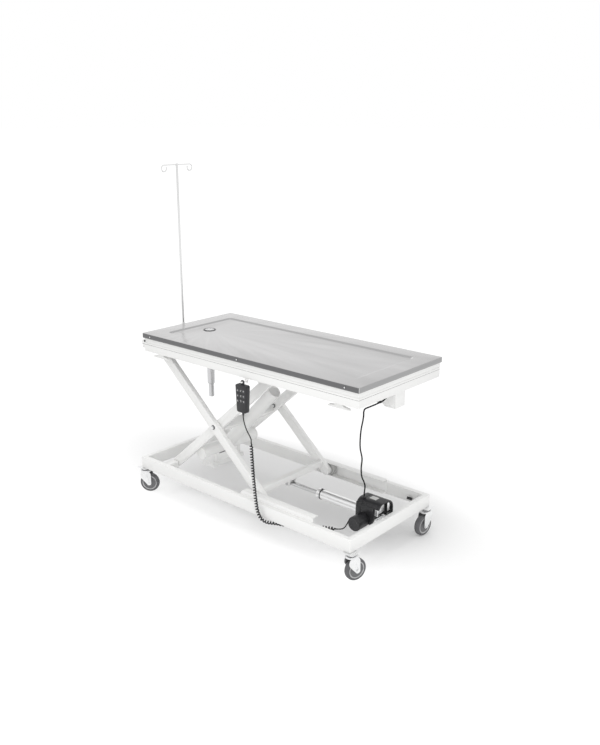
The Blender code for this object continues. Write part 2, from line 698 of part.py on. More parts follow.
def build_caster(corner, x, y):
    """Swivel caster: bolted plate with its race, fork with axle, and wheel."""
    yaw = math.radians(CASTER_YAWS[corner])
    length, width, sheet = CASTER_PLATE
    top = CASTER_HEIGHT - GAP
    mount = box(f"caster_plate_{corner}", (x - length / 2, y - width / 2, top - sheet),
                (x + length / 2, y + width / 2, top), 0.001, 1)
    race_top = top - sheet + 0.0005
    race = turned("race", [(0.0, race_top), (RACE_RADIUS, race_top),
                           (RACE_RADIUS, race_top - RACE_HEIGHT / 2),
                           (RACE_RADIUS * 0.8, race_top - RACE_HEIGHT), (0.0, race_top - RACE_HEIGHT)], 12)
    race.location = (x, y, 0.0)
    finish(fuse(mount, race), "base", ZINC)

    crown_top = race_top - RACE_HEIGHT - GAP
    crown_low = crown_top - CROWN_HEIGHT
    fork = turned(f"caster_fork_{corner}", [(0.0, crown_top), (RACE_RADIUS, crown_top),
                                            (RACE_RADIUS + 0.003, crown_low),
                                            (0.0, crown_low)], 12)
    leg_y = WHEEL_WIDTH / 2 + FORK_CLEARANCE + FORK_SHEET / 2
    shoulder = 0.028
    outline = link_outline((0.006, crown_top - shoulder), shoulder, (CASTER_TRAIL, WHEEL_RADIUS), 0.012, 5)
    for side in (-1, 1):
        leg = plate("leg", outline, FORK_SHEET)
        leg.location = (0.0, side * leg_y, 0.0)
        fuse(fork, leg)
    bridge = box("bridge", (-0.020, -leg_y, crown_low), (0.030, leg_y, crown_top - 0.001))
    head = leg_y + FORK_SHEET / 2 + 0.004
    axle = cylinder("axle", (CASTER_TRAIL, -head, WHEEL_RADIUS), (CASTER_TRAIL, head, WHEEL_RADIUS),
                    AXLE_RADIUS, 8)
    fuse(fork, bridge, axle)
    swing = Matrix.Translation((x, y, 0.0)) @ Matrix.Rotation(yaw, 4, "Z")
    for shape in [fork] + [modifier.object for modifier in fork.modifiers if modifier.type == "BOOLEAN"]:
        shape.matrix_basis = swing @ shape.matrix_basis
    finish(fork, f"swivel_{corner}", ZINC)

    half = WHEEL_WIDTH / 2
    bore = AXLE_RADIUS + RUNNING_GAP
    profile = [(bore, half + 0.001), (0.013, half + 0.001), (0.016, half - 0.005), (0.038, half - 0.005),
               (0.042, half - 0.001), (WHEEL_RADIUS, half - 0.008)]
    profile += [(radius, -height) for radius, height in reversed(profile)]
    wheel = turned(f"caster_wheel_{corner}", profile, 20)
    wheel.matrix_basis = swing @ Matrix.Translation((CASTER_TRAIL, 0.0, WHEEL_RADIUS)) @ Matrix.Rotation(
        math.pi / 2, 4, "X")
    finish(wheel, f"wheel_{corner}", RUBBER)


def build_arms():
    """Inner and outer pair of scissor arms with their rollers."""
    end = ARM_DEPTH / 2
    hole = bore_radius(PIVOT_RADIUS)
    outline = link_outline((0.0, 0.0), end, (ARM_LENGTH, 0.0), end)
    for name, side in SIDES_OF_TABLE:
        inner = plate(f"inner_arm_{name}", outline, ARM_WIDTH,
                      (circle((0.0, 0.0), hole), circle((LOWER_ARM, 0.0), hole)))
        inner_y = side * (INNER_ARM_FACE - ARM_WIDTH / 2)
        inner.location = (LIFT_PIVOT_X, inner_y, LOWER_AXIS_Z)
        inner.rotation_euler = (0.0, -REST_ANGLE, 0.0)
        roller_out = FRAME_HALF - CHANNEL_WALL - SIDE_GAP
        stub = cylinder("stub", (UPPER_ROLLER_X, inner_y, UPPER_AXIS_Z),
                        (UPPER_ROLLER_X, side * roller_out, UPPER_AXIS_Z), PIVOT_RADIUS, SMALL_SIDES)
        finish(fuse(inner, stub), "lift", WHITE)
        build_roller(f"upper_roller_{name}", (UPPER_ROLLER_X, UPPER_AXIS_Z), side, roller_out,
                     UPPER_ROLLER_WIDTH, UPPER_ROLLER_RADIUS)

        outer = plate(f"outer_arm_{name}", outline, ARM_WIDTH, (circle((0.0, 0.0), hole),))
        outer_y = side * (OUTER_ARM_FACE - ARM_WIDTH / 2)
        outer.location = (UPPER_PIVOT_X, outer_y, UPPER_AXIS_Z)
        outer.rotation_euler = (0.0, REST_ANGLE, 0.0)
        pin = cylinder("pin", (CENTRE_X, outer_y, CENTRE_Z),
                       (CENTRE_X, side * (CROSS_REACH - SIDE_GAP), CENTRE_Z), PIVOT_RADIUS, SMALL_SIDES)
        roller_out = BASE_INNER - TRACK_WALL - SIDE_GAP
        stub = cylinder("stub", (LOWER_ROLLER_X, outer_y, LOWER_AXIS_Z),
                        (LOWER_ROLLER_X, side * roller_out, LOWER_AXIS_Z), PIVOT_RADIUS, SMALL_SIDES)
        finish(fuse(outer, pin, stub), "scissor", WHITE)
        build_roller(f"lower_roller_{name}", (LOWER_ROLLER_X, LOWER_AXIS_Z), side, roller_out,
                     LOWER_ROLLER_WIDTH, LOWER_ROLLER_RADIUS)


def build_roller(name, axis, side, outer_face, width, radius):
    """Nylon roller on a stub axle, given the place of its outer face."""
    bore = PIVOT_RADIUS + RUNNING_GAP
    half = width / 2
    profile = [(bore, half), (radius - 0.002, half), (radius, half - 0.002), (radius, 0.002 - half),
               (radius - 0.002, -half), (bore, -half)]
    roller = on_y(turned(name, profile, 16))
    roller.location = (axis[0], side * (outer_face - half), axis[1])
    finish(roller, name, DARK)


def on_inner_arm(along, above):
    """X and Z of a point given along the inner arm's centre line and square to it."""
    x = LIFT_PIVOT_X + along * math.cos(REST_ANGLE) - above * math.sin(REST_ANGLE)
    z = LOWER_AXIS_Z + along * math.sin(REST_ANGLE) + above * math.cos(REST_ANGLE)
    return x, z


def build_inner_cross_frame():
    """Torsion tube, cross beam and centre tube between the inner arms, and the control box's hangers."""
    x, z = on_inner_arm(TORSION_TUBE_ALONG, -TORSION_TUBE_BELOW)
    torsion = cylinder("inner_cross_frame", (x, -CROSS_REACH, z), (x, CROSS_REACH, z), TORSION_TUBE_RADIUS)
    length, depth = CROSS_BEAM_SIZE
    beam_x, beam_z = on_inner_arm(CROSS_BEAM_ALONG, 0.0)
    beam = box("beam", (-length / 2, -CROSS_REACH, -depth / 2), (length / 2, CROSS_REACH, depth / 2), EDGE)
    beam.location = (beam_x, 0.0, beam_z)
    beam.rotation_euler = (0.0, -REST_ANGLE, 0.0)
    top_x, top_z = on_inner_arm(CENTRE_TUBE_ALONG, CENTRE_TUBE_ABOVE)
    centre = cylinder("centre", (x, 0.0, z), (top_x, 0.0, top_z), CENTRE_TUBE_RADIUS, 20)
    round_edges(centre, 0.006, 1)
    fuse(torsion, beam, centre)
    low = CASTER_HEIGHT + CONTROL_BOX_RISE + CONTROL_BOX_HEIGHT + GAP
    right = x + HANGER_SHEET
    for name, side in SIDES_OF_TABLE:
        hanger = mirrored_box(f"hanger_{name}", (right - HANGER_WIDTH, -HANGER_REACH - HANGER_SHEET, low),
                              (right, -HANGER_REACH, z), side)
        fuse(torsion, hanger)
    finish(torsion, "lift", WHITE)


def build_outer_crossbar():
    """Square bar between the outer arms with the two lugs that the lift rod pulls on."""
    x = LOWER_ROLLER_X - CROSSBAR_BACK
    z = LOWER_AXIS_Z + CROSSBAR_RISE
    half = CROSSBAR_SIZE / 2
    reach = OUTER_ARM_FACE - ARM_WIDTH - GAP
    bar = box("outer_crossbar", (x - half, -reach, z - half), (x + half, reach, z + half), EDGE)
    outline = link_outline(LIFT_PIN, LIFT_EYE_RADIUS, (x, z), half)
    for side in (-1, 1):
        lug = plate("lug", outline, LUG_SHEET, (circle(LIFT_PIN, bore_radius(LIFT_PIN_RADIUS)),))
        lug.location.y = side * (LIFT_EYE_WIDTH / 2 + RUNNING_GAP + LUG_SHEET / 2)
        fuse(bar, lug)
    finish(bar, "scissor", WHITE)
    head = LIFT_EYE_WIDTH / 2 + LUG_SHEET + 0.003
    pin_x, pin_z = LIFT_PIN
    pin = cylinder("lift_rod_pin", (pin_x, -head, pin_z), (pin_x, head, pin_z), LIFT_PIN_RADIUS,
                   SMALL_SIDES)
    finish(pin, "scissor", STEEL)


def build_lift_actuator():
    """Horizontal screw actuator on the base: rod, tube, gear housing, motor and rear bracket."""
    pin_x, pin_z = LIFT_PIN
    eye = plate("lift_rod", circle((pin_x, pin_z), LIFT_EYE_RADIUS, SIDES), LIFT_EYE_WIDTH,
                (circle((pin_x, pin_z), bore_radius(LIFT_PIN_RADIUS)),))
    shaft = cylinder("shaft", (pin_x + LIFT_EYE_RADIUS - 0.003, 0.0, pin_z),
                     (pin_x + LIFT_ROD_LENGTH, 0.0, pin_z),
                     LIFT_ROD_RADIUS)
    finish(fuse(eye, shaft), "lift_rod", STEEL)

    length = LIFT_HOUSING_FRONT - GAP - LIFT_TUBE_MOUTH
    bore = LIFT_ROD_RADIUS + LIFT_BORE_GAP
    collar = LIFT_TUBE_RADIUS + 0.002
    sleeve = turned("lift_tube", [(bore, length), (collar, length), (collar, length - 0.012),
                                  (LIFT_TUBE_RADIUS, length - 0.012), (LIFT_TUBE_RADIUS, 0.0), (bore, 0.0)])
    sleeve.location = (LIFT_HOUSING_FRONT - GAP, 0.0, pin_z)
    sleeve.rotation_euler = (0.0, -math.pi / 2, 0.0)
    finish(sleeve, "lift_actuator", STAINLESS)

    housing = arch("lift_gear_housing", LIFT_HOUSING_FRONT, LIFT_HOUSING_REAR, LIFT_HOUSING_WIDTH / 2, 0.0)
    wall = LIFT_HOUSING_WALL
    pocket = arch("pocket", LIFT_HOUSING_REAR - LIFT_POCKET_DEPTH, LIFT_HOUSING_REAR + wall,
                  LIFT_HOUSING_WIDTH / 2 - wall, wall)
    mouth = box("mouth", (LIFT_HOUSING_REAR - LIFT_POCKET_DEPTH, wall - LIFT_HOUSING_WIDTH / 2, 0.0),
                (LIFT_HOUSING_REAR + wall, LIFT_HOUSING_WIDTH / 2 - wall, pin_z))
    cut(housing, pocket, mouth)
    reach = LIFT_HOUSING_WIDTH / 2 - wall / 2
    rear_pin = cylinder("rear_pin", (LIFT_REAR_PIN_X, -reach, pin_z), (LIFT_REAR_PIN_X, reach, pin_z),
                        LIFT_PIN_RADIUS, SMALL_SIDES)
    gland_x, gland_y, gland_z = GLAND
    gland = cylinder("gland", (gland_x, gland_y, pin_z), (gland_x, gland_y, gland_z - GAP), GLAND_RADIUS,
                     SMALL_SIDES)
    fuse(housing, rear_pin, gland)
    finish(housing, "lift_actuator", BLACK)

    radius, long = MOTOR_RADIUS, MOTOR_LENGTH
    profile = [(0.0, long), (radius - 0.006, long), (radius - 0.003, long - 0.003),
               (radius - 0.003, long - 0.016),
               (radius, long - 0.018), (radius, 0.010), (radius + 0.003, 0.008), (radius + 0.003, 0.0),
               (0.0, 0.0)]
    motor = on_y(turned("lift_motor", profile))
    motor.location = (MOTOR_X, MOTOR_FACE, pin_z - MOTOR_DROP)
    finish(motor, "lift_actuator", BLACK)

    foot_x = BASE_RIGHT - BASE_RAIL_WIDTH - GAP
    tongue = plate("actuator_rear_bracket", link_outline((LIFT_REAR_PIN_X, pin_z), LIFT_EYE_RADIUS,
                                                         (foot_x - 0.004, pin_z), LIFT_EYE_RADIUS),
                   TONGUE_WIDTH, (circle((LIFT_REAR_PIN_X, pin_z), bore_radius(LIFT_PIN_RADIUS)),))
    trim = box("trim", (foot_x, -TONGUE_WIDTH, pin_z - TONGUE_WIDTH),
               (foot_x + TONGUE_WIDTH, TONGUE_WIDTH, BASE_TOP))
    foot = box("foot", (foot_x - 0.006, -0.042, CASTER_HEIGHT + 0.004), (foot_x, 0.042, BASE_TOP - 0.004),
               EDGE)
    cut(tongue, trim)
    fuse(tongue, foot)
    finish(tongue, "base", ZINC)


def arch(name, start, stop, half_width, inset):
    """Block along X with a round-shouldered top, for the lift actuator's housing."""
    low = LIFT_PIN[1] - LIFT_HOUSING_BELOW + inset
    high = LIFT_PIN[1] + LIFT_HOUSING_ABOVE - inset
    shoulder = 0.042 - inset
    outline = [(half_width, low)] + arc((half_width - shoulder, high - shoulder), shoulder, 0.0,
                                        math.pi / 2, 6)
    outline += arc((shoulder - half_width, high - shoulder), shoulder, math.pi / 2, math.pi,
                   6) + [(-half_width, low)]
    block = plate(name, outline, stop - start)
    block.location.x = (start + stop) / 2
    block.rotation_euler = (0.0, 0.0, math.pi / 2)
    return block


def build_lift_frame():
    """Channel-rail frame that the scissor raises, with pivots, lever lugs, hinge ends and rope cleats."""
    low, high = LIFT_BOTTOM, LIFT_TOP
    frame = box("lift_frame", (FRAME_LEFT, -FRAME_HALF, low), (FRAME_RIGHT, FRAME_HALF, high))
    well = box("well", (FRAME_LEFT + LEFT_BAR, -RAIL_INNER, low - EDGE),
               (FRAME_RIGHT - RAIL_WIDTH, RAIL_INNER, high + EDGE))
    cut(frame, well)
    for name, side in SIDES_OF_TABLE:
        groove = mirrored_box("groove", (FRAME_LEFT + LEFT_BAR, -FRAME_HALF + CHANNEL_WALL,
                                         low + CHANNEL_WALL),
                              (FRAME_RIGHT - RAIL_WIDTH, -RAIL_INNER + EDGE, high - CHANNEL_WALL), side)
        cut(frame, groove)
    half = LIFT_MEMBER_SIZE / 2
    reach = FRAME_HALF - CHANNEL_WALL / 2
    member = box("member", (LIFT_MEMBER_X - half, -reach, low),
                 (LIFT_MEMBER_X + half, reach, low + LIFT_MEMBER_SIZE))
    fuse(frame, member)
    for name, side in SIDES_OF_TABLE:
        block_end = OUTER_ARM_FACE + SIDE_GAP
        block = mirrored_box("block", (UPPER_PIVOT_X - 0.018, -reach, low),
                             (UPPER_PIVOT_X + 0.018, -block_end, high - 0.004),
                             side)
        pin = cylinder("pin", (UPPER_PIVOT_X, side * reach, UPPER_AXIS_Z),
                       (UPPER_PIVOT_X, side * (OUTER_ARM_FACE - ARM_WIDTH), UPPER_AXIS_Z), PIVOT_RADIUS,
                       SMALL_SIDES)
        fuse(frame, block, pin)
        fuse(frame, *hinge_shapes(side, FRAME_HALF - KNUCKLE_LENGTH, FRAME_HALF, low + LIFT_RAIL_HEIGHT / 3,
                                  HINGE_Z))
        hinge_pin = cylinder("hinge_pin", (HINGE_X, side * (FRAME_HALF - EDGE), HINGE_Z),
                             (HINGE_X, side * (FRAME_HALF - 2 * KNUCKLE_LENGTH), HINGE_Z), HINGE_PIN_RADIUS,
                             SMALL_SIDES)
        fuse(frame, hinge_pin)
        for x in CLEAT_XS:
            fuse(frame, cleat_shape(x, side))
    fuse(frame, *lever_lugs())
    finish(frame, "level", WHITE)


def hinge_shapes(side, near, far, leaf_low, leaf_high):
    """Knuckle of the tilt hinge and the leaf that ties it to a frame's left end."""
    knuckle = cylinder("knuckle", (HINGE_X, side * near, HINGE_Z), (HINGE_X, side * far, HINGE_Z),
                       HINGE_RADIUS)
    leaf = mirrored_box("leaf", (HINGE_X - HINGE_LEAF / 2, -far + GAP, leaf_low),
                        (FRAME_LEFT + HINGE_LEAF, -near - GAP, leaf_high), side)
    return knuckle, leaf


def cleat_shape(x, side):
    """Two-horned rope cleat under a side rail."""
    top = LIFT_BOTTOM + CHANNEL_WALL / 2
    low = LIFT_BOTTOM - CLEAT_HEIGHT
    half = CLEAT_LENGTH / 2
    post = CLEAT_LENGTH / 6
    horn = [(half, low), (half - 0.002, low + 0.006), (post + 0.010, low + 0.010), (post, low + 0.014),
            (post, top)]
    outline = horn + [(-px, pz) for px, pz in reversed(horn)]
    cleat = plate("cleat", [(x + px, pz) for px, pz in outline], CLEAT_SHEET)
    cleat.location.y = side * (FRAME_HALF - RAIL_WIDTH / 2)
    return cleat


def lever_lugs():
    """Pair of lugs and the pin that carry the tilt lever on the lift frame's cross member."""
    x, z = LEVER_PIVOT
    gap = LEVER_SHEET / 2 + RUNNING_GAP
    lugs = []
    for side in (-1, 1):
        lug = plate("lug", link_outline((LIFT_MEMBER_X, z), 0.014, (x, z), 0.014), LUG_SHEET)
        lug.location.y = side * (gap + LUG_SHEET / 2)
        lugs.append(lug)
    reach = gap + LUG_SHEET - EDGE
    pin = cylinder("pin", (x, -reach, z), (x, reach, z), LEVER_PIN_RADIUS, SMALL_SIDES)
    return (*lugs, pin)


def build_tilt_drive():
    """Bell crank, its roller under the tilting frame, and the actuator that pulls it."""
    x, z = LEVER_PIVOT
    short = (x + LEVER_SHORT_ARM * math.cos(LEVER_SHORT_ANGLE),
             z + LEVER_SHORT_ARM * math.sin(LEVER_SHORT_ANGLE))
    lever = plate("tilt_lever", link_outline((x, z), 0.017, TILT_ROLLER_CENTRE, 0.012), LEVER_SHEET)
    arm = plate("arm", link_outline((x, z), 0.015, short, 0.012), LEVER_SHEET - EDGE / 2,
                (circle(short, bore_radius(TILT_PIN_RADIUS, TILT_PIN_GAP)),))
    roller_x, roller_z = TILT_ROLLER_CENTRE
    far = LEVER_SHEET / 2 + TILT_ROLLER_WIDTH + SIDE_GAP
    stub = cylinder("stub", (roller_x, 0.0, roller_z), (roller_x, far, roller_z), PIVOT_RADIUS, SMALL_SIDES)
    fuse(lever, arm, stub)
    cut(lever, cylinder("bore", (x, -LEVER_SHEET, z), (x, LEVER_SHEET, z), bore_radius(LEVER_PIN_RADIUS),
                        SMALL_SIDES))
    finish(lever, "tilt_lever", STEEL)
    build_roller("tilt_roller", TILT_ROLLER_CENTRE, 1, far, TILT_ROLLER_WIDTH, TILT_ROLLER_RADIUS)

    rod = cylinder("tilt_rod", (TILT_ROD_X + 0.022, 0.0, TILT_ROD_Z),
                   (TILT_ROD_X + TILT_ROD_LENGTH, 0.0, TILT_ROD_Z),
                   TILT_ROD_RADIUS)
    cheek_y = LEVER_SHEET / 2 + SIDE_GAP
    cheek_sheet = 0.006
    for side in (-1, 1):
        cheek = plate("cheek", link_outline((TILT_ROD_X, TILT_ROD_Z), 0.009,
                                            (TILT_ROD_X + 0.030, TILT_ROD_Z), 0.009),
                      cheek_sheet)
        cheek.location.y = side * (cheek_y + cheek_sheet / 2)
        fuse(rod, cheek)
    reach = cheek_y + cheek_sheet - EDGE
    fork_pin = cylinder("fork_pin", (TILT_ROD_X, -reach, TILT_ROD_Z), (TILT_ROD_X, reach, TILT_ROD_Z),
                        TILT_PIN_RADIUS, SMALL_SIDES)
    root = box("root", (TILT_ROD_X + 0.022, -reach, TILT_ROD_Z - 0.007),
               (TILT_ROD_X + 0.034, reach, TILT_ROD_Z + 0.007))
    finish(fuse(rod, root, fork_pin), "tilt_rod", STEEL)

    length = TILT_MOTOR_FRONT + EDGE - TILT_TUBE_MOUTH
    bore = TILT_ROD_RADIUS + RUNNING_GAP
    body = turned("tilt_actuator", [(bore, length), (TILT_TUBE_RADIUS, length), (TILT_TUBE_RADIUS, 0.0),
                                    (bore, 0.0)])
    body.location = (TILT_MOTOR_FRONT + EDGE, 0.0, TILT_ROD_Z)
    body.rotation_euler = (0.0, -math.pi / 2, 0.0)
    half = TILT_MOTOR_SIZE / 2
    motor = box("motor", (TILT_MOTOR_FRONT, -half, TILT_ROD_Z - half),
                (TILT_MOTOR_REAR, half, TILT_ROD_Z + half), 0.006)
    tail = plate("tail", link_outline((TILT_MOTOR_REAR - 0.01, TILT_ROD_Z), TILT_EYE_RADIUS,
                                      (TILT_REAR_PIN_X, TILT_ROD_Z),
                                      TILT_EYE_RADIUS), 0.020,
                 (circle((TILT_REAR_PIN_X, TILT_ROD_Z), bore_radius(TILT_PIN_RADIUS)),))
    finish(fuse(body, motor, tail), "level", BLACK)

    build_tilt_bracket()


def build_tilt_bracket():
    """White bracket under the right end of the lift frame that holds the tilt actuator's tail."""
    stop = TILT_BRACKET_RIGHT
    start = stop - TILT_BRACKET_LENGTH
    high = LIFT_BOTTOM - GAP
    low = high - TILT_BRACKET_DROP
    half = TILT_BRACKET_WIDTH / 2
    sheet = TILT_BRACKET_SHEET
    bracket = box("tilt_bracket", (start, -half, low), (stop, half, high), 0.0015)
    inside = box("inside", (start - sheet, sheet - half, low - sheet),
                 (stop - sheet, half - sheet, high + sheet))
    corner = TILT_BRACKET_DROP * 0.6
    slope = plate("slope", ((start - sheet, low - sheet), (start + corner, low - sheet),
                            (start - sheet, low + corner)),
                  TILT_BRACKET_WIDTH + sheet)
    cut(bracket, inside, slope)
    pin = cylinder("pin", (TILT_REAR_PIN_X, sheet / 2 - half, TILT_ROD_Z),
                   (TILT_REAR_PIN_X, half - sheet / 2, TILT_ROD_Z),
                   TILT_PIN_RADIUS, SMALL_SIDES)
    fuse(bracket, pin)
    finish(bracket, "level", WHITE)


def build_tilt_frame():
    """Flat tube frame under the steel top, hinged at the left end."""
    low, high = TILT_BOTTOM, TILT_TOP
    frame = box("tilt_frame", (FRAME_LEFT, -FRAME_HALF, low), (FRAME_RIGHT, FRAME_HALF, high))
    well = box("well", (FRAME_LEFT + RAIL_WIDTH, -RAIL_INNER, low - EDGE),
               (FRAME_RIGHT - RAIL_WIDTH, RAIL_INNER, high + EDGE))
    cut(frame, well)
    half = TILT_MEMBER_WIDTH / 2
    reach = FRAME_HALF - RAIL_WIDTH / 2
    member = box("member", (TILT_MEMBER_X - half, -reach, low + EDGE),
                 (TILT_MEMBER_X + half, reach, high - EDGE))
    shoe = box("shoe", (TILT_ROLLER_CENTRE[0] - SHOE_BEHIND, -reach, low),
               (TILT_ROLLER_CENTRE[0] + SHOE_AHEAD, reach, low + SHOE_HEIGHT))
    fuse(frame, member, shoe)
    for name, side in SIDES_OF_TABLE:
        near = FRAME_HALF - 2 * KNUCKLE_LENGTH
        far = FRAME_HALF - KNUCKLE_LENGTH - SIDE_GAP
        fuse(frame, *hinge_shapes(side, near, far, HINGE_Z, high - TILT_RAIL_HEIGHT / 3))
        bore = cylinder("bore", (HINGE_X, side * (near - EDGE), HINGE_Z),
                        (HINGE_X, side * (far + EDGE), HINGE_Z),
                        bore_radius(HINGE_PIN_RADIUS), SMALL_SIDES)
        cut(frame, bore)
    finish(frame, "tilt", WHITE)


def build_steel_top():
    """Folded stainless top: hemmed lip, flat border, and a shallow basin that falls to the drain."""
    def ring(half_x, half_y, radius, z):
        return [(TOP_LENGTH / 2 + px, py, z) for px, py in rounded_rectangle(half_x, half_y, radius)]

    def drain_ring(radius):
        turn = math.pi / SIDES
        loop = arc((DRAIN_X, 0.0), radius, turn, turn + math.tau, SIDES)[:-1]
        return [(px, py, DRAIN_FLOOR) for px, py in loop]

    half_x, half_y = TOP_LENGTH / 2, TOP_WIDTH / 2
    border = RIM_BORDER
    rings = [ring(half_x - HEM, half_y - HEM, EDGE, LIP_BOTTOM), ring(half_x, half_y, EDGE, LIP_BOTTOM),
             ring(half_x, half_y, EDGE, TABLE_TOP),
             ring(half_x - border, half_y - border, BASIN_CORNER, TABLE_TOP),
             ring(half_x - border - BASIN_SLOPE, half_y - border - BASIN_SLOPE,
                  BASIN_CORNER - BASIN_SLOPE / 2,
                  TABLE_TOP - BASIN_DEPTH),
             drain_ring(DRAIN_FLANGE_RADIUS + EDGE), drain_ring(DRAIN_HOLE_RADIUS)]
    top = loft("steel_top", rings)
    wall = top.modifiers.new("sheet", "SOLIDIFY")
    wall.thickness = SHEET
    wall.offset = -1.0
    wall.use_even_offset = True
    finish(top, "tilt", STAINLESS)


def build_drain():
    """Drain flange, lift-out strainer and the tail pipe under the top."""
    floor = DRAIN_FLOOR + GAP
    top = floor + DRAIN_FLANGE_THICKNESS
    neck = DRAIN_HOLE_RADIUS * math.cos(math.pi / SIDES) - GAP
    seat = neck - DRAIN_WALL
    bore = seat - DRAIN_WALL
    seat_z = top - STRAINER_THICKNESS - GAP
    low = floor - DRAIN_NECK_LENGTH
    flange = turned("drain_flange", [(seat, top), (DRAIN_FLANGE_RADIUS - EDGE, top),
                                     (DRAIN_FLANGE_RADIUS, floor),
                                     (neck, floor), (neck, low), (bore, low), (bore, seat_z),
                                     (seat, seat_z)])
    flange.location = (DRAIN_X, 0.0, 0.0)
    finish(flange, "tilt", STAINLESS)

    strainer = cylinder("drain_strainer", (DRAIN_X, 0.0, seat_z + GAP), (DRAIN_X, 0.0, top),
                        seat - RUNNING_GAP)
    for i in range(STRAINER_HOLES):
        angle = math.tau * i / STRAINER_HOLES
        x = DRAIN_X + 0.6 * seat * math.cos(angle)
        y = 0.6 * seat * math.sin(angle)
        hole = cylinder("hole", (x, y, seat_z - EDGE), (x, y, top + EDGE), STRAINER_HOLE_RADIUS, 8)
        cut(strainer, hole)
    middle = cylinder("hole", (DRAIN_X, 0.0, seat_z - EDGE), (DRAIN_X, 0.0, top + EDGE),
                      STRAINER_HOLE_RADIUS, 8)
    cut(strainer, middle)
    finish(strainer, "drain_strainer", STAINLESS)

    pipe_top = low - GAP
    nut = neck + 0.006
    step = pipe_top - PIPE_LENGTH
    end = step - TAIL_LENGTH
    profile = [(bore, pipe_top), (nut, pipe_top), (nut, pipe_top - 0.018), (PIPE_RADIUS, pipe_top - 0.022),
               (PIPE_RADIUS, step), (TAIL_RADIUS, step - 0.004), (TAIL_RADIUS, end),
               (TAIL_RADIUS - PIPE_WALL, end),
               (TAIL_RADIUS - PIPE_WALL, step - 0.004), (PIPE_RADIUS - PIPE_WALL, step),
               (PIPE_RADIUS - PIPE_WALL, pipe_top - 0.022)]
    pipe = turned("drain_pipe", profile, 16)
    pipe.location = (DRAIN_X, 0.0, 0.0)
    finish(pipe, "tilt", STAINLESS)


def build_pole():
    """Drip pole with its hook bar, the socket on the lift frame's left end and the clamp knob."""
    low = LIFT_BOTTOM
    high = low + POLE_SOCKET_HEIGHT
    bore = POLE_RADIUS + RUNNING_GAP
    socket = turned("pole_socket", [(0.0, low + POLE_SOCKET_FLOOR), (bore, low + POLE_SOCKET_FLOOR),
                                    (bore, high),
                                    (POLE_SOCKET_RADIUS, high), (POLE_SOCKET_RADIUS, low), (0.0, low)], 16)
    socket.location = (POLE_X, 0.0, 0.0)
    arm = box("arm", (POLE_X + bore + EDGE, -0.012, low + 0.006), (FRAME_LEFT - GAP, 0.012, low + 0.030))
    foot = box("foot", (FRAME_LEFT - GAP - 0.005, -0.034, low + 0.002),
               (FRAME_LEFT - GAP, 0.034, low + 0.036), 0.001)
    fuse(socket, arm, foot)
    finish(socket, "level", WHITE)

    middle = low + POLE_SOCKET_HEIGHT / 2
    start = POLE_SOCKET_RADIUS + GAP
    tip = start + 0.012
    profile = [(0.0, tip + KNOB_LENGTH), (KNOB_RADIUS * 0.8, tip + KNOB_LENGTH),
               (KNOB_RADIUS, tip + KNOB_LENGTH - 0.004),
               (KNOB_RADIUS, tip + 0.004), (KNOB_RADIUS * 0.6, tip), (0.004, tip), (0.004, start),
               (0.0, start)]
    knob = turned("pole_knob", profile, 12)
    knob.rotation_euler = (0.0, -math.pi / 2, 0.0)
    knob.location = (POLE_X, 0.0, middle)
    finish(knob, "pole_knob", BLACK)

    pole_low = low + POLE_SOCKET_FLOOR + GAP
    pole = cylinder("iv_pole", (POLE_X, 0.0, pole_low), (POLE_X, 0.0, POLE_TOP), POLE_RADIUS, 20)
    bar_z = POLE_TOP - 2 * HOOK_WIRE
    drop = bar_z - HOOK_LOOP
    right = arc((HOOK_REACH, drop), HOOK_LOOP, math.pi / 2, math.radians(-200), 11)
    route = [(POLE_X, -y, z) for y, z in reversed(right)] + [(POLE_X, y, z) for y, z in right]
    hooks = tube("hooks", route, HOOK_WIRE)
    fuse(pole, hooks)
    finish(pole, "pole", STAINLESS)


